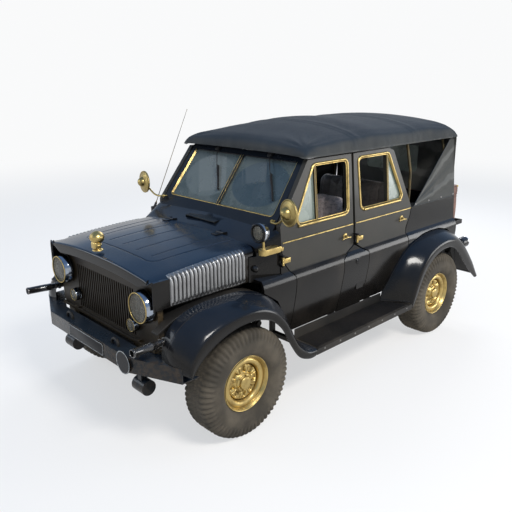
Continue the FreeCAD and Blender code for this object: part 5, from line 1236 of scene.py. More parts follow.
outer = np.array([(-0.699, 1.2045), (0.699, 1.2045), (0.693, 1.7545), (-0.693, 1.7545)])
flat = ring_points(rounded(WINDOW, 0.04), outer, 240, 26)
x, z = flat[..., 0], flat[..., 1]
wave = np.sin(x * 21 + 2.2 * np.sin(z * 9)) * 0.35 + np.sin(x * 9 + z * 14) * 0.65
edge = ease(0.69 - np.abs(x), 0, 0.09) * ease(z, 1.2045, 1.27) * ease(1.7545 - z, 0, 0.06)
hole = ease(np.maximum(np.abs(x) - 0.3, np.abs(z - 1.51) - 0.13), 0.0, 0.07)
curtain = np.stack([x, 1.6605 + 0.004 * wave * edge * hole, z], -1)
piece = made_of("hood_rear_curtain", [shell(curtain, 0.003, True)], canvas, "root",
                ["canvas_curtains"], 1.2)
frame_loop = filled(rounded(inset(WINDOW, -0.008), 0.046), 0.02)
binding = [tube(np.insert(frame_loop, 1, 1.6625, axis=1), 0.0055, 8, True)]
made_of("hood_rear_window_binding", binding, canvas, "root")
pane = block((-0.305, 1.6575, 1.375), (0.305, 1.6595, 1.645), 0.001)
made_of("hood_rear_window", [pane], pane_glass, "root")
dressed("hood_bows", gold("bow_brass", (0.06, 0.052, 0.034, 1), 0.45), 0)

# Headlamps
# Spun chromed shells with a rolled bezel and a thin brass ring inside it. The pressed glass
# lens carries upright flutes in front of a silvered reflector and a bulb.
def chrome(name, colour=(0.72, 0.74, 0.76, 1)):
    """Plated metal: mirror-like, with small pits and a faint haze in the roughness."""
    made = Finish(name, Metallic=1.0)
    haze, pits = made.noise(12, 5), made.step(made.noise(170, 3), 0.62, 0.72)
    made.put(Base_Color=made.mix(pits * 0.6 + haze * 0.08, colour, (0.16, 0.13, 0.1, 1)),
             Roughness=haze * 0.12 + 0.06)
    made.put(Normal=made.relief(haze, 0.0001))
    return made.material


def lamp_lens(name, pitch=430.0):
    """Fluted glass: thin see-through pane whose relief is a sine of X across the lens, its colour lighter
    along the flutes as painted highlights.
    """
    made = Finish(name, IOR=1.5, Specular_IOR_Level=0.25)
    flute = made.math("SINE", made.axis("X") * pitch) * 0.5 + 0.5
    cross = made.math("SINE", made.axis("Z") * 160.0) * 0.5 + 0.5
    haze = made.noise(14, 5)
    murk = made.step(made.noise(24, 5, (1, 1, 2.5)), 0.35, 0.65)
    # Painted highlights: the colour is lighter along each flute and cross line.
    shade = made.mix(flute * 0.4 + cross * 0.15, (0.13, 0.118, 0.09, 1), (0.2, 0.185, 0.15, 1))
    shade = made.mix(murk * 0.75, shade, (0.055, 0.045, 0.03, 1))
    made.put(Base_Color=shade, Roughness=haze * 0.15 + 0.1, Alpha=murk * 0.15 + haze * 0.2 + 0.62)
    made.put(Normal=made.relief(flute + cross * 0.4, 0.0016))
    made.material.surface_render_method = "DITHERED"
    return made.material


def spun(front, thickness, centre, axis=(0, 1, 0), count=56):
    """Closed spun dish: a front profile down to the axis, and the same line behind it by the thickness."""
    front = np.asarray(front, float)
    back = front[::-1] + (thickness, 0)
    return net(turned(np.concatenate([front, back]), centre, count, axis), True, True)


plated = chrome("chrome")
lens_glass = lamp_lens("lamp_lens")
silvered = chrome("reflector", (0.5, 0.48, 0.44, 1))
HEAD, SIDE_LAMP = ((0.519, -1.758, 0.965), 0.111, 0.0737), ((0.379, -1.73, 0.8), 0.048, 0.0457)
shells, rings, mirrors_in, lenses, bulbs = [], [], [], [], []
for centre, r, deep in (HEAD, SIDE_LAMP):
    k = r / 0.106
    bowl = smooth([(0.003 * k, r * 0.868), (0.01 * k, r * 0.895), (deep * 0.38, r * 0.95),
                   (deep * 0.6, r * 0.99), (deep * 0.7, r), (deep * 0.79, r * 0.985), (deep * 0.9, r * 0.93),
                   (deep, r * 0.84)], 30)
    inside = bowl[::-1][1:] + (-0.002 * k, -0.002 * k)
    inside[:, 1] = np.maximum(inside[:, 1], 0.001)
    inside[:, 0] = np.maximum(inside[:, 0], 0.002 * k)
    back = [(deep, 0.0), (deep - 0.002 * k, 0.0)]
    shells.append(net(turned(np.concatenate([bowl, back, inside]), centre, 56, (0, 1, 0)), True, True))
    edge = np.linspace(0, 2 * math.pi, 8, endpoint=False)[:, None]
    bead = np.concatenate([0.002 * k + 0.0036 * k * np.sin(edge), r * 0.862 + 0.0036 * k * np.cos(edge)], 1)
    rings.append(net(turned(bead, centre, 56, (0, 1, 0)), True, True))
    dish = smooth([(0.012 * k, r * 0.83), (0.03 * k, r * 0.66), (deep * 0.72, r * 0.4), (deep * 0.8, 0.0)],
                  16)
    mirrors_in.append(spun(dish, 0.0012 * k, centre))
    front = smooth([(0.006 * k, r * 0.845), (0.0015 * k, r * 0.62), (-0.0016 * k, r * 0.3),
                    (-0.0028 * k, 0.0)], 16)
    lenses.append(spun(front, 0.0025 * k, centre))
    bulbs.append(net(turned(smooth([(deep * 0.7, 0.0), (deep * 0.7, 0.007 * k), (deep * 0.5, 0.011 * k),
                                    (deep * 0.36, 0.008 * k), (deep * 0.32, 0.0)], 14), centre, 24,
                            (0, 1, 0)), True))
# Painted reflection: the lamp shells' chrome is a darker, bluish copy of the chrome, the blue sky in its
# plating.
made_of("lamp_shells", both(shells), chrome("lamp_chrome", (0.3, 0.34, 0.4, 1)), "root", ["lamps"],
        1.0)
made_of("lamp_inner_rings", both(rings), brass, "root")
made_of("lamp_reflectors", both(mirrors_in), silvered, "root")
made_of("lamp_bulbs", both(bulbs), silvered, "root")
made_of("lamp_lenses", both(lenses), lens_glass, "root", ["lamp_glass"], 1.2)

# Tail lamps
# Round lamps let into the rear wings: dark housing, chrome rim and a red lens.
def red_glass():
    """Moulded red lens, darker with age in patches."""
    made = Finish("tail_lens", Specular_IOR_Level=0.6, Coat_Weight=0.6, Coat_Roughness=0.08)
    made.put(Base_Color=made.mix(made.noise(20), (0.16, 0.006, 0.004, 1), (0.28, 0.012, 0.008, 1)),
             Roughness=0.18)
    return made.material


tail_centre = (0.85, 1.665, 0.765)
housing = net(turned(smooth([(-0.06, 0.0), (-0.06, 0.045), (0.02, 0.05), (0.033, 0.0515), (0.04, 0.049),
                             (0.04, 0.0425), (0.03, 0.0415), (0.028, 0.0)], 36), tail_centre, 48, (0, 1, 0)),
              True)
rim_ring = net(turned([(0.03, 0.0415), (0.0415, 0.043), (0.0425, 0.046), (0.04, 0.0505), (0.033, 0.052),
                       (0.028, 0.05)], tail_centre, 48, (0, 1, 0)), True, True)
red_lens = net(turned(smooth([(0.026, 0.0), (0.026, 0.0412), (0.034, 0.041), (0.038, 0.03), (0.0395, 0.015),
                              (0.0398, 0.0)], 24), tail_centre, 48, (0, 1, 0)), True)
made_of("tail_lamp_housings", both([housing]), black, "root", (), 1.0)
made_of("tail_lamp_rims", both([rim_ring]), plated, "root")
made_of("tail_lamp_lenses", both([red_lens]), red_glass(), "root")

# Spotlight, mirrors and their brass fittings
# Cast and spun brass: a spotlight on a stepped bracket at the left of the cowl, and two dished
# mirrors with domed bosses on bent arms from the windscreen pillars.
spot = (0.758, -0.975, 1.33)
body_line = smooth([(0.0, 0.052), (-0.001, 0.058), (0.002, 0.063), (0.012, 0.066), (0.026, 0.066),
                    (0.034, 0.0625), (0.045, 0.0585), (0.06, 0.052), (0.075, 0.036), (0.0835, 0.02),
                    (0.084, 0.0)], 30)
spot_parts = [spun(body_line[::-1], -0.002, spot)]
bezel = [net(turned([(0.0, 0.049), (-0.0035, 0.053), (-0.0035, 0.06), (0.001, 0.0655), (0.008, 0.067),
                     (0.009, 0.064), (0.004, 0.05)], spot, 72, (0, 1, 0)), True, True)]
stem = smooth([(0.758, -0.925, 1.272), (0.757, -0.92, 1.25), (0.754, -0.916, 1.22), (0.752, -0.914, 1.198)],
              16)
bracket = [tube(stem, 0.0085, 16), net(turned([(0, 0), (0, 0.014), (0.012, 0.013), (0.016, 0.0095),
                                               (0.016, 0)], (0.752, -0.914, 1.202), 28, (0, 0, 1)), True)]


def bracket_bar():
    """Flat bar with a rounded front end: outline of a long tongue in plan, x(y) closes round in front."""
    turn = np.linspace(-np.pi / 2, np.pi / 2, 17)
    nose = np.stack([0.732 + 0.032 * np.sin(turn), -0.898 - 0.032 * np.cos(turn)], 1)
    plan = np.concatenate([nose, [(0.764, -0.762), (0.7, -0.762)]])
    centre = np.array((0.732, -0.84))
    levels = [(0.02, 1.162), (0, 1.164), (0, 1.2), (0.02, 1.2018)]
    grid = np.array([np.insert(plan + (centre - plan) * drawn, 2, z, axis=1) for drawn, z in levels])
    low, high = grid[0].mean(0), grid[-1].mean(0)
    grid = np.concatenate([np.tile(low, (1, len(plan), 1)), grid, np.tile(high, (1, len(plan), 1))])
    return net(grid, False, True)


bracket.append(bracket_bar())
for y0, y1, low, high, x1 in ((-0.762, -0.744, 1.168, 1.196, 0.757), (-0.744, -0.72, 1.16, 1.186, 0.752)):
    bracket.append(block((0.716, y0, low), (x1, y1, high), 0.003))
made_of("spotlight_body", spot_parts, chrome("spot_chrome", (0.4, 0.42, 0.45, 1)), "root",
        ["spotlight"], 1.0)
made_of("spotlight_bezel", bezel, black, "root")
made_of("spotlight_bracket", bracket, brass, "root")
spot_lens = spun(smooth([(0.006, 0.0515), (0.0, 0.036), (-0.003, 0.018), (-0.004, 0.0)], 18), 0.0022, spot)
spot_dish = spun(smooth([(0.009, 0.05), (0.024, 0.036), (0.044, 0.02), (0.05, 0.0)], 18), 0.001, spot)
made_of("spotlight_lens", [spot_lens], lens_glass, "root")
made_of("spotlight_reflector", [spot_dish], silvered, "root")

middle = np.array((0.843, -0.772, 1.446))
dish_line = smooth([(0.0, 0.092), (0.003, 0.0925), (0.0075, 0.0905), (0.0085, 0.086), (0.0065, 0.082),
                    (0.0085, 0.076), (0.014, 0.064), (0.018, 0.054), (0.0185, 0.046), (0.021, 0.0425),
                    (0.0235, 0.04), (0.034, 0.0375), (0.047, 0.03), (0.056, 0.0185), (0.0605, 0.008),
                    (0.0612, 0.0)], 48)
back_line = [(-0.008, 0.0), (-0.008, 0.086), (-0.0065, 0.0915), (0.0, 0.092)]
arm = smooth([middle + (0, 0.004, 0), (0.822, -0.77, 1.428), (0.775, -0.762, 1.386), (0.735, -0.755, 1.357),
              (0.7, -0.748, 1.346), (0.668, -0.742, 1.345), (0.648, -0.735, 1.345), (0.638, -0.712, 1.345),
              (0.636, -0.694, 1.345)], 60)
mirror_parts, mirror_panes = [], []
for aim, turn_over in (((-0.2, -1, 0.03), list), ((0.15, -1, 0.03), flipped)):
    pane = turned([(-0.0075, 0.0), (-0.0075, 0.085), (-0.0085, 0.085), (-0.0088, 0.0)][::-1], middle, 64, aim)
    foot = turned([(0, 0), (0, 0.016), (0.008, 0.0145), (0.01, 0)], (0.6405, -0.72, 1.345), 24,
                  (0.25, -0.8, 0))
    mirror_parts += turn_over([net(turned(np.concatenate([back_line[:-1], dish_line]), middle, 56, aim),
                                   True), tube(arm, 0.0075, 16), net(foot, True)])
    mirror_panes += turn_over([net(pane, True)])
# Painted shade: the mirrors' brass is a darker copy of the wheels' brass.
made_of("mirror_bodies", mirror_parts, gold("mirror_brass", (0.34, 0.26, 0.1, 1), 0.3), "root",
        ["mirrors"], 1.0)
made_of("mirror_glasses", mirror_panes, plated, "root")

# Antenna
# Sprung steel whip on a black rubber foot at the right of the cowl.
whip_base, whip_tip = np.array((-0.735, -0.752, 1.25)), np.array((-0.735, -0.372, 2.034))
whip = whip_base + (whip_tip - whip_base) * np.linspace(0, 1, 60)[:, None]
girth = np.where(np.linspace(0, 1, 60) < 0.05, 0.0085, np.linspace(0.0034, 0.0016, 60))
girth = girth + np.where(np.linspace(0, 1, 60) > 0.985, 0.0012, 0)
whip_parts = [tube(whip, girth, 12)]
made_of("antenna_whip", whip_parts, cast("whip_steel", (0.2, 0.15, 0.09, 1)), "root", ["antenna"],
        1.2)
foot = [block((-0.744, -0.79, 1.2), (-0.706, -0.735, 1.252), 0.006, 3),
        net(turned(smooth([(-0.014, 0), (-0.014, 0.0125), (0.0, 0.0125), (0.012, 0.0105), (0.03, 0.0092),
                           (0.034, 0)], 20), (-0.735, -0.752, 1.25), 24, (0, 0.436, 0.9)), True)]
made_of("antenna_foot", foot, rubber_black, "root")

# Bonnet ornament
# Cast brass finial on a stepped post.
finial = smooth([(0.0, 0.0), (0.0, 0.034), (0.006, 0.034), (0.009, 0.029), (0.013, 0.0235), (0.02, 0.022),
                 (0.03, 0.0235), (0.034, 0.028), (0.038, 0.03), (0.042, 0.0285), (0.046, 0.024),
                 (0.052, 0.0265), (0.064, 0.04), (0.08, 0.0475), (0.096, 0.0475), (0.11, 0.04), (0.12, 0.029),
                 (0.128, 0.015), (0.131, 0.0)], 72)
grid = turned(finial, (0, -1.706, 1.211), 64, (0, 0, 1))
ornament = [net(grid, True), block((-0.026, -1.742, 1.224), (0.026, -1.69, 1.272), 0.01, 4)]
made_of("bonnet_finial", ornament, brass, "bonnet", ["bonnet_ornament"], 1.0)

# Front tubes
# Stepped steel tubes beside the grille, hollow in front and closed behind, each with a collar and a
# clamping ring.
root_at, tip_at = np.array((0.69, -1.65, 0.782)), np.array((0.712, -1.93, 0.79))
reach = tip_at - root_at
long = float(np.linalg.norm(reach))
way = reach / long
bore_r = 0.0195
tube_line = [(0.0, 0.0), (0.0, 0.02), (0.03, 0.02), (0.031, 0.0265), (0.043, 0.0265), (0.044, 0.02),
             (0.064, 0.02), (0.065, 0.0245), (0.075, 0.0245), (0.076, 0.0205), (0.099, 0.0205), (0.1, 0.0245),
             (0.105, 0.026), (0.14, 0.026), (0.1415, 0.0268), (0.148, 0.0268), (0.15, 0.026),
             (long - 0.014, 0.026), (long - 0.0125, 0.0268), (long - 0.003, 0.0268), (long, 0.0245),
             (long, bore_r + 0.001), (long - 0.002, bore_r), (0.16, bore_r), (0.16, 0.0)]
dark_pipe = painted("tube_black", (0.006, 0.006, 0.006, 1), 0.2, dust=0.1, coat=0.6, wear=0.4,
                    worn=(0.12, 0.1, 0.09, 1), shine=0.5)
tube_parts = [net(turned(tube_line, root_at, 48, way), True)]
screw_at = root_at + way * 0.037 + np.array((0.0, 0.0, 0.027))
tube_parts.append(net(turned([(-0.003, 0), (-0.003, 0.006), (0.003, 0.006), (0.005, 0.003), (0.005, 0)],
                             screw_at, 12, (0, 0, 1)), True))
made_of("front_tube_pipes", both(tube_parts), dark_pipe, "root", ["front_tubes"], 0.8)

# Bumpers
# Pressed channel with swept ends in worn black, its loops in the frame's paint, and a blank number
# plate with a painted border beside a blank disc.
# Painted reflection: the bumper's faces that look up take a blue top colour, the sky in the gloss; its rubbed
# brown edges are wear.
bumper_paint = painted("bumper_black", (0.009, 0.01, 0.011, 1), 0.26, dust=0.08, coat=0.1, wear=0.6,
                       worn=(0.045, 0.03, 0.018, 1), top=(0.008, 0.015, 0.024, 1), shine=0.16)
dressed("bumpers", bumper_paint, 0.0025)
loops = []
for x in (-0.305, 0.305):
    turn = np.linspace(np.pi, 0, 13)
    arch = np.stack([x + 0.037 * np.cos(turn), np.full(13, -1.804), 0.678 + 0.03 * np.sin(turn)], 1)
    line = np.concatenate([[(x - 0.037, -1.804, 0.662)], arch, [(x + 0.037, -1.804, 0.662)]])
    loops.append(tube(smooth(line, 40), 0.0098, 16))
made_of("bumper_loops", loops, chassis_paint, "root")
plate_black = painted("plate_black", (0.006, 0.006, 0.007, 1), 0.35, dust=0.1, coat=0.0, shine=0.15)
pale_paint = painted("pale_border", (0.36, 0.36, 0.34, 1), 0.45, dust=0.35, coat=0.1, wear=0.5,
                     worn=(0.1, 0.1, 0.1, 1))
PLATE = (-0.232, 0.232, 0.571, 0.661)
x0, x1, z0, z1 = PLATE
made_of("number_plate", [block((x0, -1.855, z0), (x1, -1.8515, z1), 0.0012)], plate_black, "root")
outline = filled(rounded([(x0 + 0.006, z0 + 0.006), (x1 - 0.006, z0 + 0.006), (x1 - 0.006, z1 - 0.006),
                          (x0 + 0.006, z1 - 0.006)], 0.01), 0.02)
border = [tube(np.insert(outline, 1, -1.8548, axis=1), 0.0016, 6, True)]
made_of("number_plate_border", border, pale_paint, "root")
disc_at = (0.47, -1.852, 0.618)
disc = net(turned([(0.0, 0.0), (0.0, 0.076), (0.0035, 0.076), (0.0035, 0.0)][::-1], disc_at, 64, (0, -1, 0)),
           True)
made_of("front_disc", [disc], plate_black, "root")
disc_rim = turned([(0.0032, 0.07), (0.0045, 0.0705), (0.0045, 0.0755), (0.0032, 0.076)], disc_at, 64,
                  (0, -1, 0))
made_of("front_disc_rim", [net(disc_rim, True, True)], pale_paint, "root")

# Seats
# Two leather front seats and a rear bench: stuffed cushions on steel boxes, with leaning backs that
# have round upper corners. The stuffing is blown up by a cloth simulation of each cover.
def leather(name, colour, worn, grain=700):
    """Hide: pebbled grain as relief, polished patches and darker creases in the colour, and painted shade in
    its hollows.
    """
    made = Finish(name, Specular_IOR_Level=0.4, Coat_Weight=0.1, Coat_Roughness=0.3)
    pebble = made.node("TexVoronoi", {"feature": "DISTANCE_TO_EDGE"}, {"Scale": grain}, "Distance")
    crease = made.step(made.noise(26, 6, (1, 1, 0.5)), 0.5,
                       0.58) * (1 - made.step(made.noise(26, 6, (1, 1, 0.5)), 0.58, 0.66))
    patch = made.step(made.noise(4, 5), 0.35, 0.75)
    # Painted shade: the hollows darken with the creases.
    hollow = 1 - made.step(made.node("NewGeometry", output="Pointiness"), 0.43, 0.5)
    tone = made.mix(patch, colour, worn)
    tone = made.mix(crease * 0.5 + hollow * 0.5, tone, tuple(c * 0.3 for c in colour[:3]) + (1,))
    made.put(Base_Color=tone, Roughness=0.62 - patch * 0.2 + made.noise(50) * 0.1)
    made.put(Normal=made.relief(made.step(pebble, 0.0, 0.06) * 0.5 - crease * 1.5, 0.0006))
    return made.material


def pad_form(width, height, depth, corner, edge):
    """Closed pad: rounded rectangles width x height, drawn in over the edge radius at both faces."""
    turns = np.linspace(0, np.pi / 2, 7)
    rings = []
    for a in np.concatenate([-turns[::-1], turns[1:]]):
        draw = edge * (1 - math.cos(a))
        level = np.sign(a) * (depth / 2 - edge) + edge * math.sin(a)
        r = max(corner - draw, 0.004)
        ring = []
        for k, (sx, sy) in enumerate(((1, 1), (-1, 1), (-1, -1), (1, -1))):
            angle = turns + k * np.pi / 2
            ring.append(np.stack([sx * (width / 2 - draw - r) + r * np.cos(angle),
                                  sy * (height / 2 - draw - r) + r * np.sin(angle), np.full(7, level)], 1))
        rings.append(np.concatenate(ring))
    rings = np.array(rings)
    ends = [np.tile(rings[k].mean(0), (1, rings.shape[1], 1)) for k in (0, -1)]
    return net(np.concatenate([ends[0], rings, ends[1]]), False, True)


def even_cover(parts, voxel):
    """Object and mesh of a cover whose faces are remeshed to even squares of the voxel size."""
    mesh = bpy.data.meshes.new("cover")
    points, faces = parts
    mesh.from_pydata(points.tolist(), [], faces)
    work = bmesh.new()
    work.from_mesh(mesh)
    bmesh.ops.remove_doubles(work, verts=work.verts, dist=1e-6)
    bmesh.ops.recalc_face_normals(work, faces=work.faces)
    work.to_mesh(mesh)
    work.free()
    cover = bpy.data.objects.new("cover", mesh)
    bpy.context.collection.objects.link(cover)
    remesh = cover.modifiers.new("Remesh", "REMESH")
    remesh.mode = "VOXEL"
    remesh.voxel_size = voxel
    graph = bpy.context.evaluated_depsgraph_get()
    even = bpy.data.meshes.new_from_object(cover.evaluated_get(graph))
    cover.modifiers.clear()
    cover.data = even
    return cover, even


def stuffed(parts, voxel, most):
    """Points and faces of the cover after the stuffing has swelled it: no point moves more than most."""
    cover, even = even_cover(parts, voxel)
    start = np.array([vertex.co for vertex in even.vertices])
    end = start.copy()
    cloth = cover.modifiers.new("Cloth", "CLOTH")
    cloth.settings.quality = 4
    cloth.settings.use_pressure = True
    cloth.settings.uniform_pressure_force = 4
    cloth.settings.effector_weights.gravity = 0
    cloth.point_cache.frame_end = 20
    for frame_number in range(1, 21):
        bpy.context.scene.frame_set(frame_number)
    graph = bpy.context.evaluated_depsgraph_get()
    swelled = bpy.data.meshes.new_from_object(cover.evaluated_get(graph))
    end = np.array([vertex.co for vertex in swelled.vertices])
    bpy.context.scene.frame_set(1)
    move = end - start
    far = np.maximum(np.linalg.norm(move, axis=1, keepdims=True), 1e-9)
    end = start + move * np.minimum(1, most / far)
    polygons = [list(polygon.vertices) for polygon in even.polygons]
    bpy.data.objects.remove(cover)
    return end, polygons


hide = leather("seat_leather", (0.72, 0.6, 0.57, 1), (0.85, 0.74, 0.7, 1))
# Painted shade: the rear bench's hide is a near-black copy of the seats' pale leather.
bench_hide = leather("bench_leather", (0.035, 0.03, 0.028, 1), (0.06, 0.05, 0.045, 1))
BACK_LEAN = math.radians(8)


def cushion(width, height, depth, corner, voxel, flutes, flute_pitch):
    """Cover swelled inside width x height x depth, then sewn: flutes(u) = |sin| channels over the face."""
    points, faces = stuffed(pad_form(width - 0.03, height - 0.03, depth - 0.034, corner, 0.03), voxel, 0.024)
    u, v, w = points.T
    inside = ease(width / 2 - 0.05 - np.abs(u), 0, 0.03) * ease(height / 2 - 0.05 - np.abs(v), 0, 0.03)
    sewn = (1 - np.abs(np.sin(np.pi * u / flute_pitch))) ** 4 * (w > 0) * inside * flutes
    points[:, 2] -= sewn * 0.009
    edge_line = ease(-np.abs(w - depth / 2 + 0.036), -0.006, 0)
    points[:, :2] *= 1 - 0.006 * edge_line[:, None]
    half = np.array((width, height, depth)) / 2
    points = np.clip(points, -half, half + (0, 0, 0.006))
    return points, faces


def laid_flat(part, centre):
    """Pad with its face up."""
    points, faces = part
    return points + np.asarray(centre), faces


def stood_up(part, centre_x, y0, z0, height, depth):
    """Pad stood on its lower edge with its face to the front, and leaned back about that edge."""
    points, faces = part
    y, z = depth / 2 - points[:, 2], points[:, 1] + height / 2
    c, s = math.cos(BACK_LEAN), math.sin(BACK_LEAN)
    return np.stack([points[:, 0] + centre_x, y0 + y * c + z * s, z0 - y * s + z * c], 1), faces


def seat_piece(name, part, node):
    """Padded piece on the body of the car, in the hide of its seat."""
    piece = made_of(name, [part], bench_hide if "bench" in name else hide, "root",
                    [node] if node else (), 2.6)
    return piece


front_cushion = cushion(0.45, 0.433, 0.135, 0.05, 0.009, 1, 0.075)
front_back = cushion(0.47, 0.54, 0.112, 0.13, 0.009, 1, 0.08)
bench_cushion = cushion(0.98, 0.424, 0.135, 0.05, 0.012, 1, 0.098)
bench_back = cushion(0.97, 0.538, 0.112, 0.09, 0.012, 1, 0.097)
for x, name in ((0.35, "left"), (-0.35, "right")):
    seat_piece("front_cushion_" + name, laid_flat(front_cushion, (x, -0.1135, 0.9175)), "front_seats")
    seat_piece("front_back_" + name, stood_up(front_back, x, 0.1215, 0.862, 0.54, 0.112), None)
seat_piece("bench_cushion", laid_flat(bench_cushion, (0, 0.772, 0.9175)), "rear_bench")
seat_piece("bench_back", stood_up(bench_back, 0, 0.9825, 0.862, 0.538, 0.112), None)

# Steering wheel and dials
# Bakelite wheel with three steel spokes on its column, and two plain dials let into the dashboard.
grip_black = painted("bakelite", (0.014, 0.011, 0.009, 1), 0.3, dust=0.3, coat=0.4, wear=0.2,
                     worn=(0.05, 0.035, 0.02, 1))
hub, column_foot = np.array((0.365, -0.34, 1.25)), np.array((0.365, -0.648, 1.12))
axis = (hub - column_foot) / np.linalg.norm(hub - column_foot)
up = np.cross(axis, (1, 0, 0))
turn = np.linspace(0, 2 * np.pi, 160, endpoint=False)[:, None]
circle = hub + 0.195 * (np.array((1.0, 0, 0)) * np.cos(turn) + up * np.sin(turn))
grips = 0.0118 + 0.0008 * np.cos(turn[:, 0] * 44)
made_of("steering_grip", [tube(circle, grips, 14, True)], grip_black, "root", ["steering_wheel"],
        1.2)
steel_parts = [tube(np.linspace(column_foot, hub, 6), 0.0195, 24),
               net(turned(smooth([(-0.03, 0.0), (-0.03, 0.026), (0.0, 0.036), (0.012, 0.034), (0.018, 0.024),
                                  (0.02, 0.0)], 30), hub, 40, axis), True)]
for direction in (np.array((1.0, 0, 0)), np.array((-1.0, 0, 0)), -up):
    steel_parts.append(tube(smooth([hub + direction * 0.02, hub + direction * 0.09 - axis * 0.006,
                                    hub + direction * 0.192], 24), np.linspace(0.009, 0.006, 24), 12))
made_of("steering_spokes", steel_parts, chassis_paint, "root")
dial_rims, dial_faces = [], []
for x, z in ((0.29, 1.19), (0.44, 1.19), (0.0, 1.18)):
    at = (x, -0.64, z)
    ring = [(-0.002, 0.04), (0.006, 0.041), (0.009, 0.044), (0.006, 0.048), (-0.002, 0.049)]
    dial_rims.append(net(turned(ring, at, 40, (0, 1, 0)), True, True))
    dial_faces.append(net(turned([(-0.001, 0.0), (-0.001, 0.041), (0.003, 0.041), (0.003, 0.0)], at, 40,
                                 (0, 1, 0)), True))
made_of("dial_rims", dial_rims, plated, "root")
made_of("dial_faces", dial_faces, plate_black, "root")

# Trunk
# Stiff leather travelling trunk in the luggage tray, with a lid seam, stitched edge bands, two
# straps with brass buckles and small brass corner caps.
trunk_hide = leather("trunk_leather", (0.09, 0.032, 0.018, 1), (0.15, 0.06, 0.032, 1), 500)
band_hide = leather("strap_leather", (0.045, 0.018, 0.012, 1), (0.08, 0.034, 0.02, 1), 800)
TX, TY0, TY1, TZ0, TZ1, LID_Z = 0.645, 1.681, 1.882, 0.8945, 1.268, 1.17


def trunk_half(z0, z1, swell):
    """Box of the trunk between two heights: rounded plan, walls bulging by swell * sin(share of height)."""
    line = rounded([(-TX, TY0), (TX, TY0), (TX, TY1), (-TX, TY1)], 0.02, 6)
    line = filled(line, 0.02)
    centre = np.array((0, (TY0 + TY1) / 2))
    rings = []
    for share in np.linspace(0, 1, 16):
        draw = 0.006 * (1 - np.sin(np.pi * np.clip(share, 0.06, 0.94)) ** 0.25)
        out = line + np.sign(line - centre) * (swell * math.sin(np.pi * share) - draw - swell)
        rings.append(np.insert(out, 2, z0 + (z1 - z0) * share, axis=1))
    rings = np.array(rings)
    ends = [np.tile(rings[k].mean(0), (1, rings.shape[1], 1)) for k in (0, -1)]
    return net(np.concatenate([ends[0], rings, ends[1]]), False, True)


made_of("trunk_case", [trunk_half(TZ0, LID_Z - 0.001, 0.002), trunk_half(LID_Z + 0.001, TZ1, 0.0015)],
        trunk_hide, "tailgate", ["trunk"], 0.7)
straps, buckles = [], []
for x in (-0.32, 0.32):
    path = [(TY1 + 0.001, TZ0 + 0.01), (TY1 + 0.001, TZ1 - 0.012), (TY1 - 0.012, TZ1 + 0.001),
            (TY0 + 0.012, TZ1 + 0.001), (TY0 - 0.001, TZ1 - 0.012), (TY0 - 0.001, TZ0 + 0.01)]
    path = np.array(path)
    line = np.concatenate([np.linspace(a, b, 12)[:-1] for a, b in zip(path, path[1:])] + [path[-1:]])
    run = np.gradient(line, axis=0)
    out = np.stack([-run[:, 1], run[:, 0]], 1) / np.linalg.norm(run, axis=1, keepdims=True) * -1
    out *= np.where(((line - (1.78, 1.07)) * out).sum(1) < 0, -1, 1)[:, None]
    rows = []
    for across, rise in ((-0.018, 0), (-0.017, 0.0028), (0.017, 0.0028), (0.018, 0)):
        rows.append(np.insert(line + out * rise, 0, x + across, axis=1))
    straps.append(net(np.array(rows).transpose(1, 0, 2), False, True))
    frame_line = rounded([(x - 0.026, 1.03), (x + 0.026, 1.03), (x + 0.026, 1.08), (x - 0.026, 1.08)], 0.006,
                         5)
    buckles.append(tube(np.insert(frame_line, 1, TY1 + 0.006, axis=1), 0.0028, 8, True))
    buckles.append(tube([(x - 0.024, TY1 + 0.0055, 1.055), (x + 0.024, TY1 + 0.0055, 1.055)], 0.002, 8))
bands = []
for z in (TZ0 + 0.012, LID_Z - 0.012, LID_Z + 0.012, TZ1 - 0.012):
    line = filled(rounded([(-TX, TY0), (TX, TY0), (TX, TY1), (-TX, TY1)], 0.02, 6), 0.02)
    bands.append(tube(np.insert(line, 2, z, axis=1), 0.0016, 6, True))
made_of("trunk_straps", straps + bands, band_hide, "tailgate")
corner_caps = []
for x in (-TX, TX):
    for y in (TY0, TY1):
        for z in (TZ0, TZ1):
            sx, sy, sz = (-1 if value > middle else 1 for value, middle in ((x, 0), (y, 1.78), (z, 1.05)))
            corner_caps.append(block((x - 0.0015 * sx, y - 0.0015 * sy, z - 0.001 * sz),
                                     (x + 0.03 * sx, y + 0.03 * sy, z + 0.024 * sz), 0.012, 4))
made_of("trunk_corner_caps", corner_caps + buckles, brass, "tailgate", (), 0.9)

# Gate handles
# Cast brass T handles that turn the gate's side bolts.
latch_parts = []
for x in (-0.55, 0.55):
    at = np.array((x, 1.66, 1.12))
    latch_parts.append(net(turned([(-0.006, 0), (-0.006, 0.02), (0.003, 0.02), (0.006, 0.012), (0.022, 0.008),
                                   (0.022, 0)], at, 28, (0, 1, 0)), True))
    latch_parts.append(tube([at + (-0.03, 0.024, 0), at + (0.03, 0.024, 0)], 0.0062, 12))
made_of("gate_handles", latch_parts, brass, "tailgate")

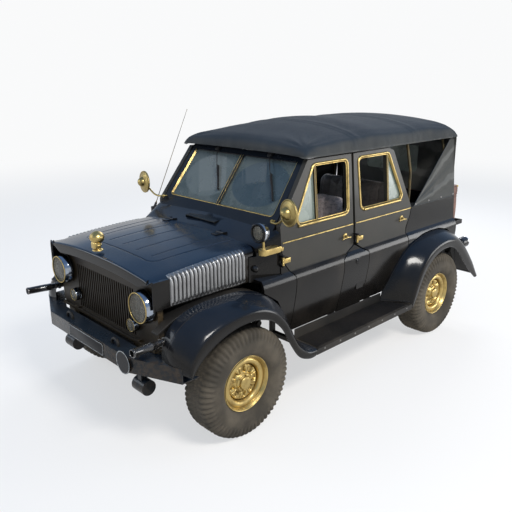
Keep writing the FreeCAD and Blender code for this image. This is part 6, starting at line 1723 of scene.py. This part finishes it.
# Floor, light and camera
# A pale floor under soft studio light, seen from the photograph's place: high on the car's front left.
FLOOR_HALF = 60
CAMERA_PLACE = (3.396, -3.502, 2.306)
CAMERA_AZIMUTH, CAMERA_ELEVATION, CAMERA_ROLL = math.radians(46.30), math.radians(17.15), math.radians(0.29)
FOCAL_PIXELS, IMAGE_PIXELS, SENSOR = 584.6, 512, 36
mesh = bpy.data.meshes.new("floor")
corners = [(x * FLOOR_HALF, y * FLOOR_HALF, 0) for x, y in ((-1, -1), (1, -1), (1, 1), (-1, 1))]
mesh.from_pydata(corners, [], [(0, 1, 2, 3)])
floor = bpy.data.objects.new("floor", mesh)
BACKDROP = (0.95, 0.955, 0.96, 1)
floor_paint = Finish("floor_paint", Base_Color=(0.8, 0.77, 0.73, 1), Roughness=0.8, Specular_IOR_Level=0.1)
rays = floor_paint.node("LightPath", output="Is Camera Ray")
for kind in ("Is Glossy Ray", "Is Transmission Ray"):
    rays = floor_paint.math("MAXIMUM", rays, floor_paint.node("LightPath", output=kind))
far = floor_paint.node("VectorMath", {"operation": "LENGTH"}, {0: floor_paint.where}, "Value")
share = rays * (floor_paint.step(far, 3, 14) * 0.4 + 0.6)
glow = floor_paint.node("Emission", None, {"Color": BACKDROP, "Strength": 1.0})
lit = Value(floor_paint, floor_paint.shader.outputs[0])
both_lights = floor_paint.node("MixShader", None, {0: share, 1: lit, 2: glow})
floor_paint.tree.links.new(both_lights.socket, floor_paint.tree.nodes["Material Output"].inputs[0])
mesh.materials.append(floor_paint.material)
bpy.context.scene.collection.objects.link(floor)

world = bpy.data.worlds.new("studio")
bpy.context.scene.world = world
world.use_nodes = True
tree = world.node_tree
where = tree.nodes.new("ShaderNodeTexCoord")
split = tree.nodes.new("ShaderNodeSeparateXYZ")
tree.links.new(where.outputs["Generated"], split.inputs[0])
sky = tree.nodes.new("ShaderNodeValToRGB")
tree.links.new(split.outputs["Z"], sky.inputs[0])
SKY = ((0.0, BACKDROP), (0.14, BACKDROP), (0.3, (0.4, 0.53, 0.72, 1)), (0.75, (0.22, 0.34, 0.56, 1)))
sky.color_ramp.elements[1].position = 0.999
for place, colour in SKY:
    stop = sky.color_ramp.elements.new(place)
    stop.color = colour
for extra in (sky.color_ramp.elements[-1], sky.color_ramp.elements[0]):
    sky.color_ramp.elements.remove(extra)
tree.links.new(sky.outputs[0], tree.nodes["Background"].inputs["Color"])


def lamp(name, place, target, size, energy, colour=(1, 1, 1)):
    """Soft area light pointed at its target."""
    data = bpy.data.lights.new(name, "AREA")
    data.shape = "RECTANGLE"
    data.size, data.size_y, data.energy, data.color = size[0], size[1], energy, colour
    thing = bpy.data.objects.new(name, data)
    thing.location = place
    thing.rotation_euler = (Vector(target) - Vector(place)).to_track_quat("-Z", "Y").to_euler()
    bpy.context.scene.collection.objects.link(thing)


lamp("key", (5.5, -1.5, 6.0), (0, 0, 0.8), (2.2, 1.5), 520, (1.0, 0.97, 0.92))
lamp("side", (5.0, 5.4, 1.9), (0.76, 0.4, 0.95), (4.0, 2.4), 200)
lamp("fill", (-4.5, -5.5, 3.5), (0, 0, 0.8), (4.0, 2.5), 130, (0.9, 0.95, 1.0))
lamp("rim", (-3.0, 5.5, 4.5), (0, 0, 1.0), (4.0, 2.0), 260)

camera_data = bpy.data.cameras.new("camera")
camera_data.sensor_width = SENSOR
camera_data.lens = FOCAL_PIXELS / IMAGE_PIXELS * SENSOR
camera_data.clip_end = 300
camera = bpy.data.objects.new("camera", camera_data)
camera.location = CAMERA_PLACE
camera.rotation_euler = (math.pi / 2 - CAMERA_ELEVATION, CAMERA_ROLL, CAMERA_AZIMUTH)
bpy.context.scene.collection.objects.link(camera)
bpy.context.scene.camera = camera
bpy.context.scene.view_settings.view_transform = "Standard"
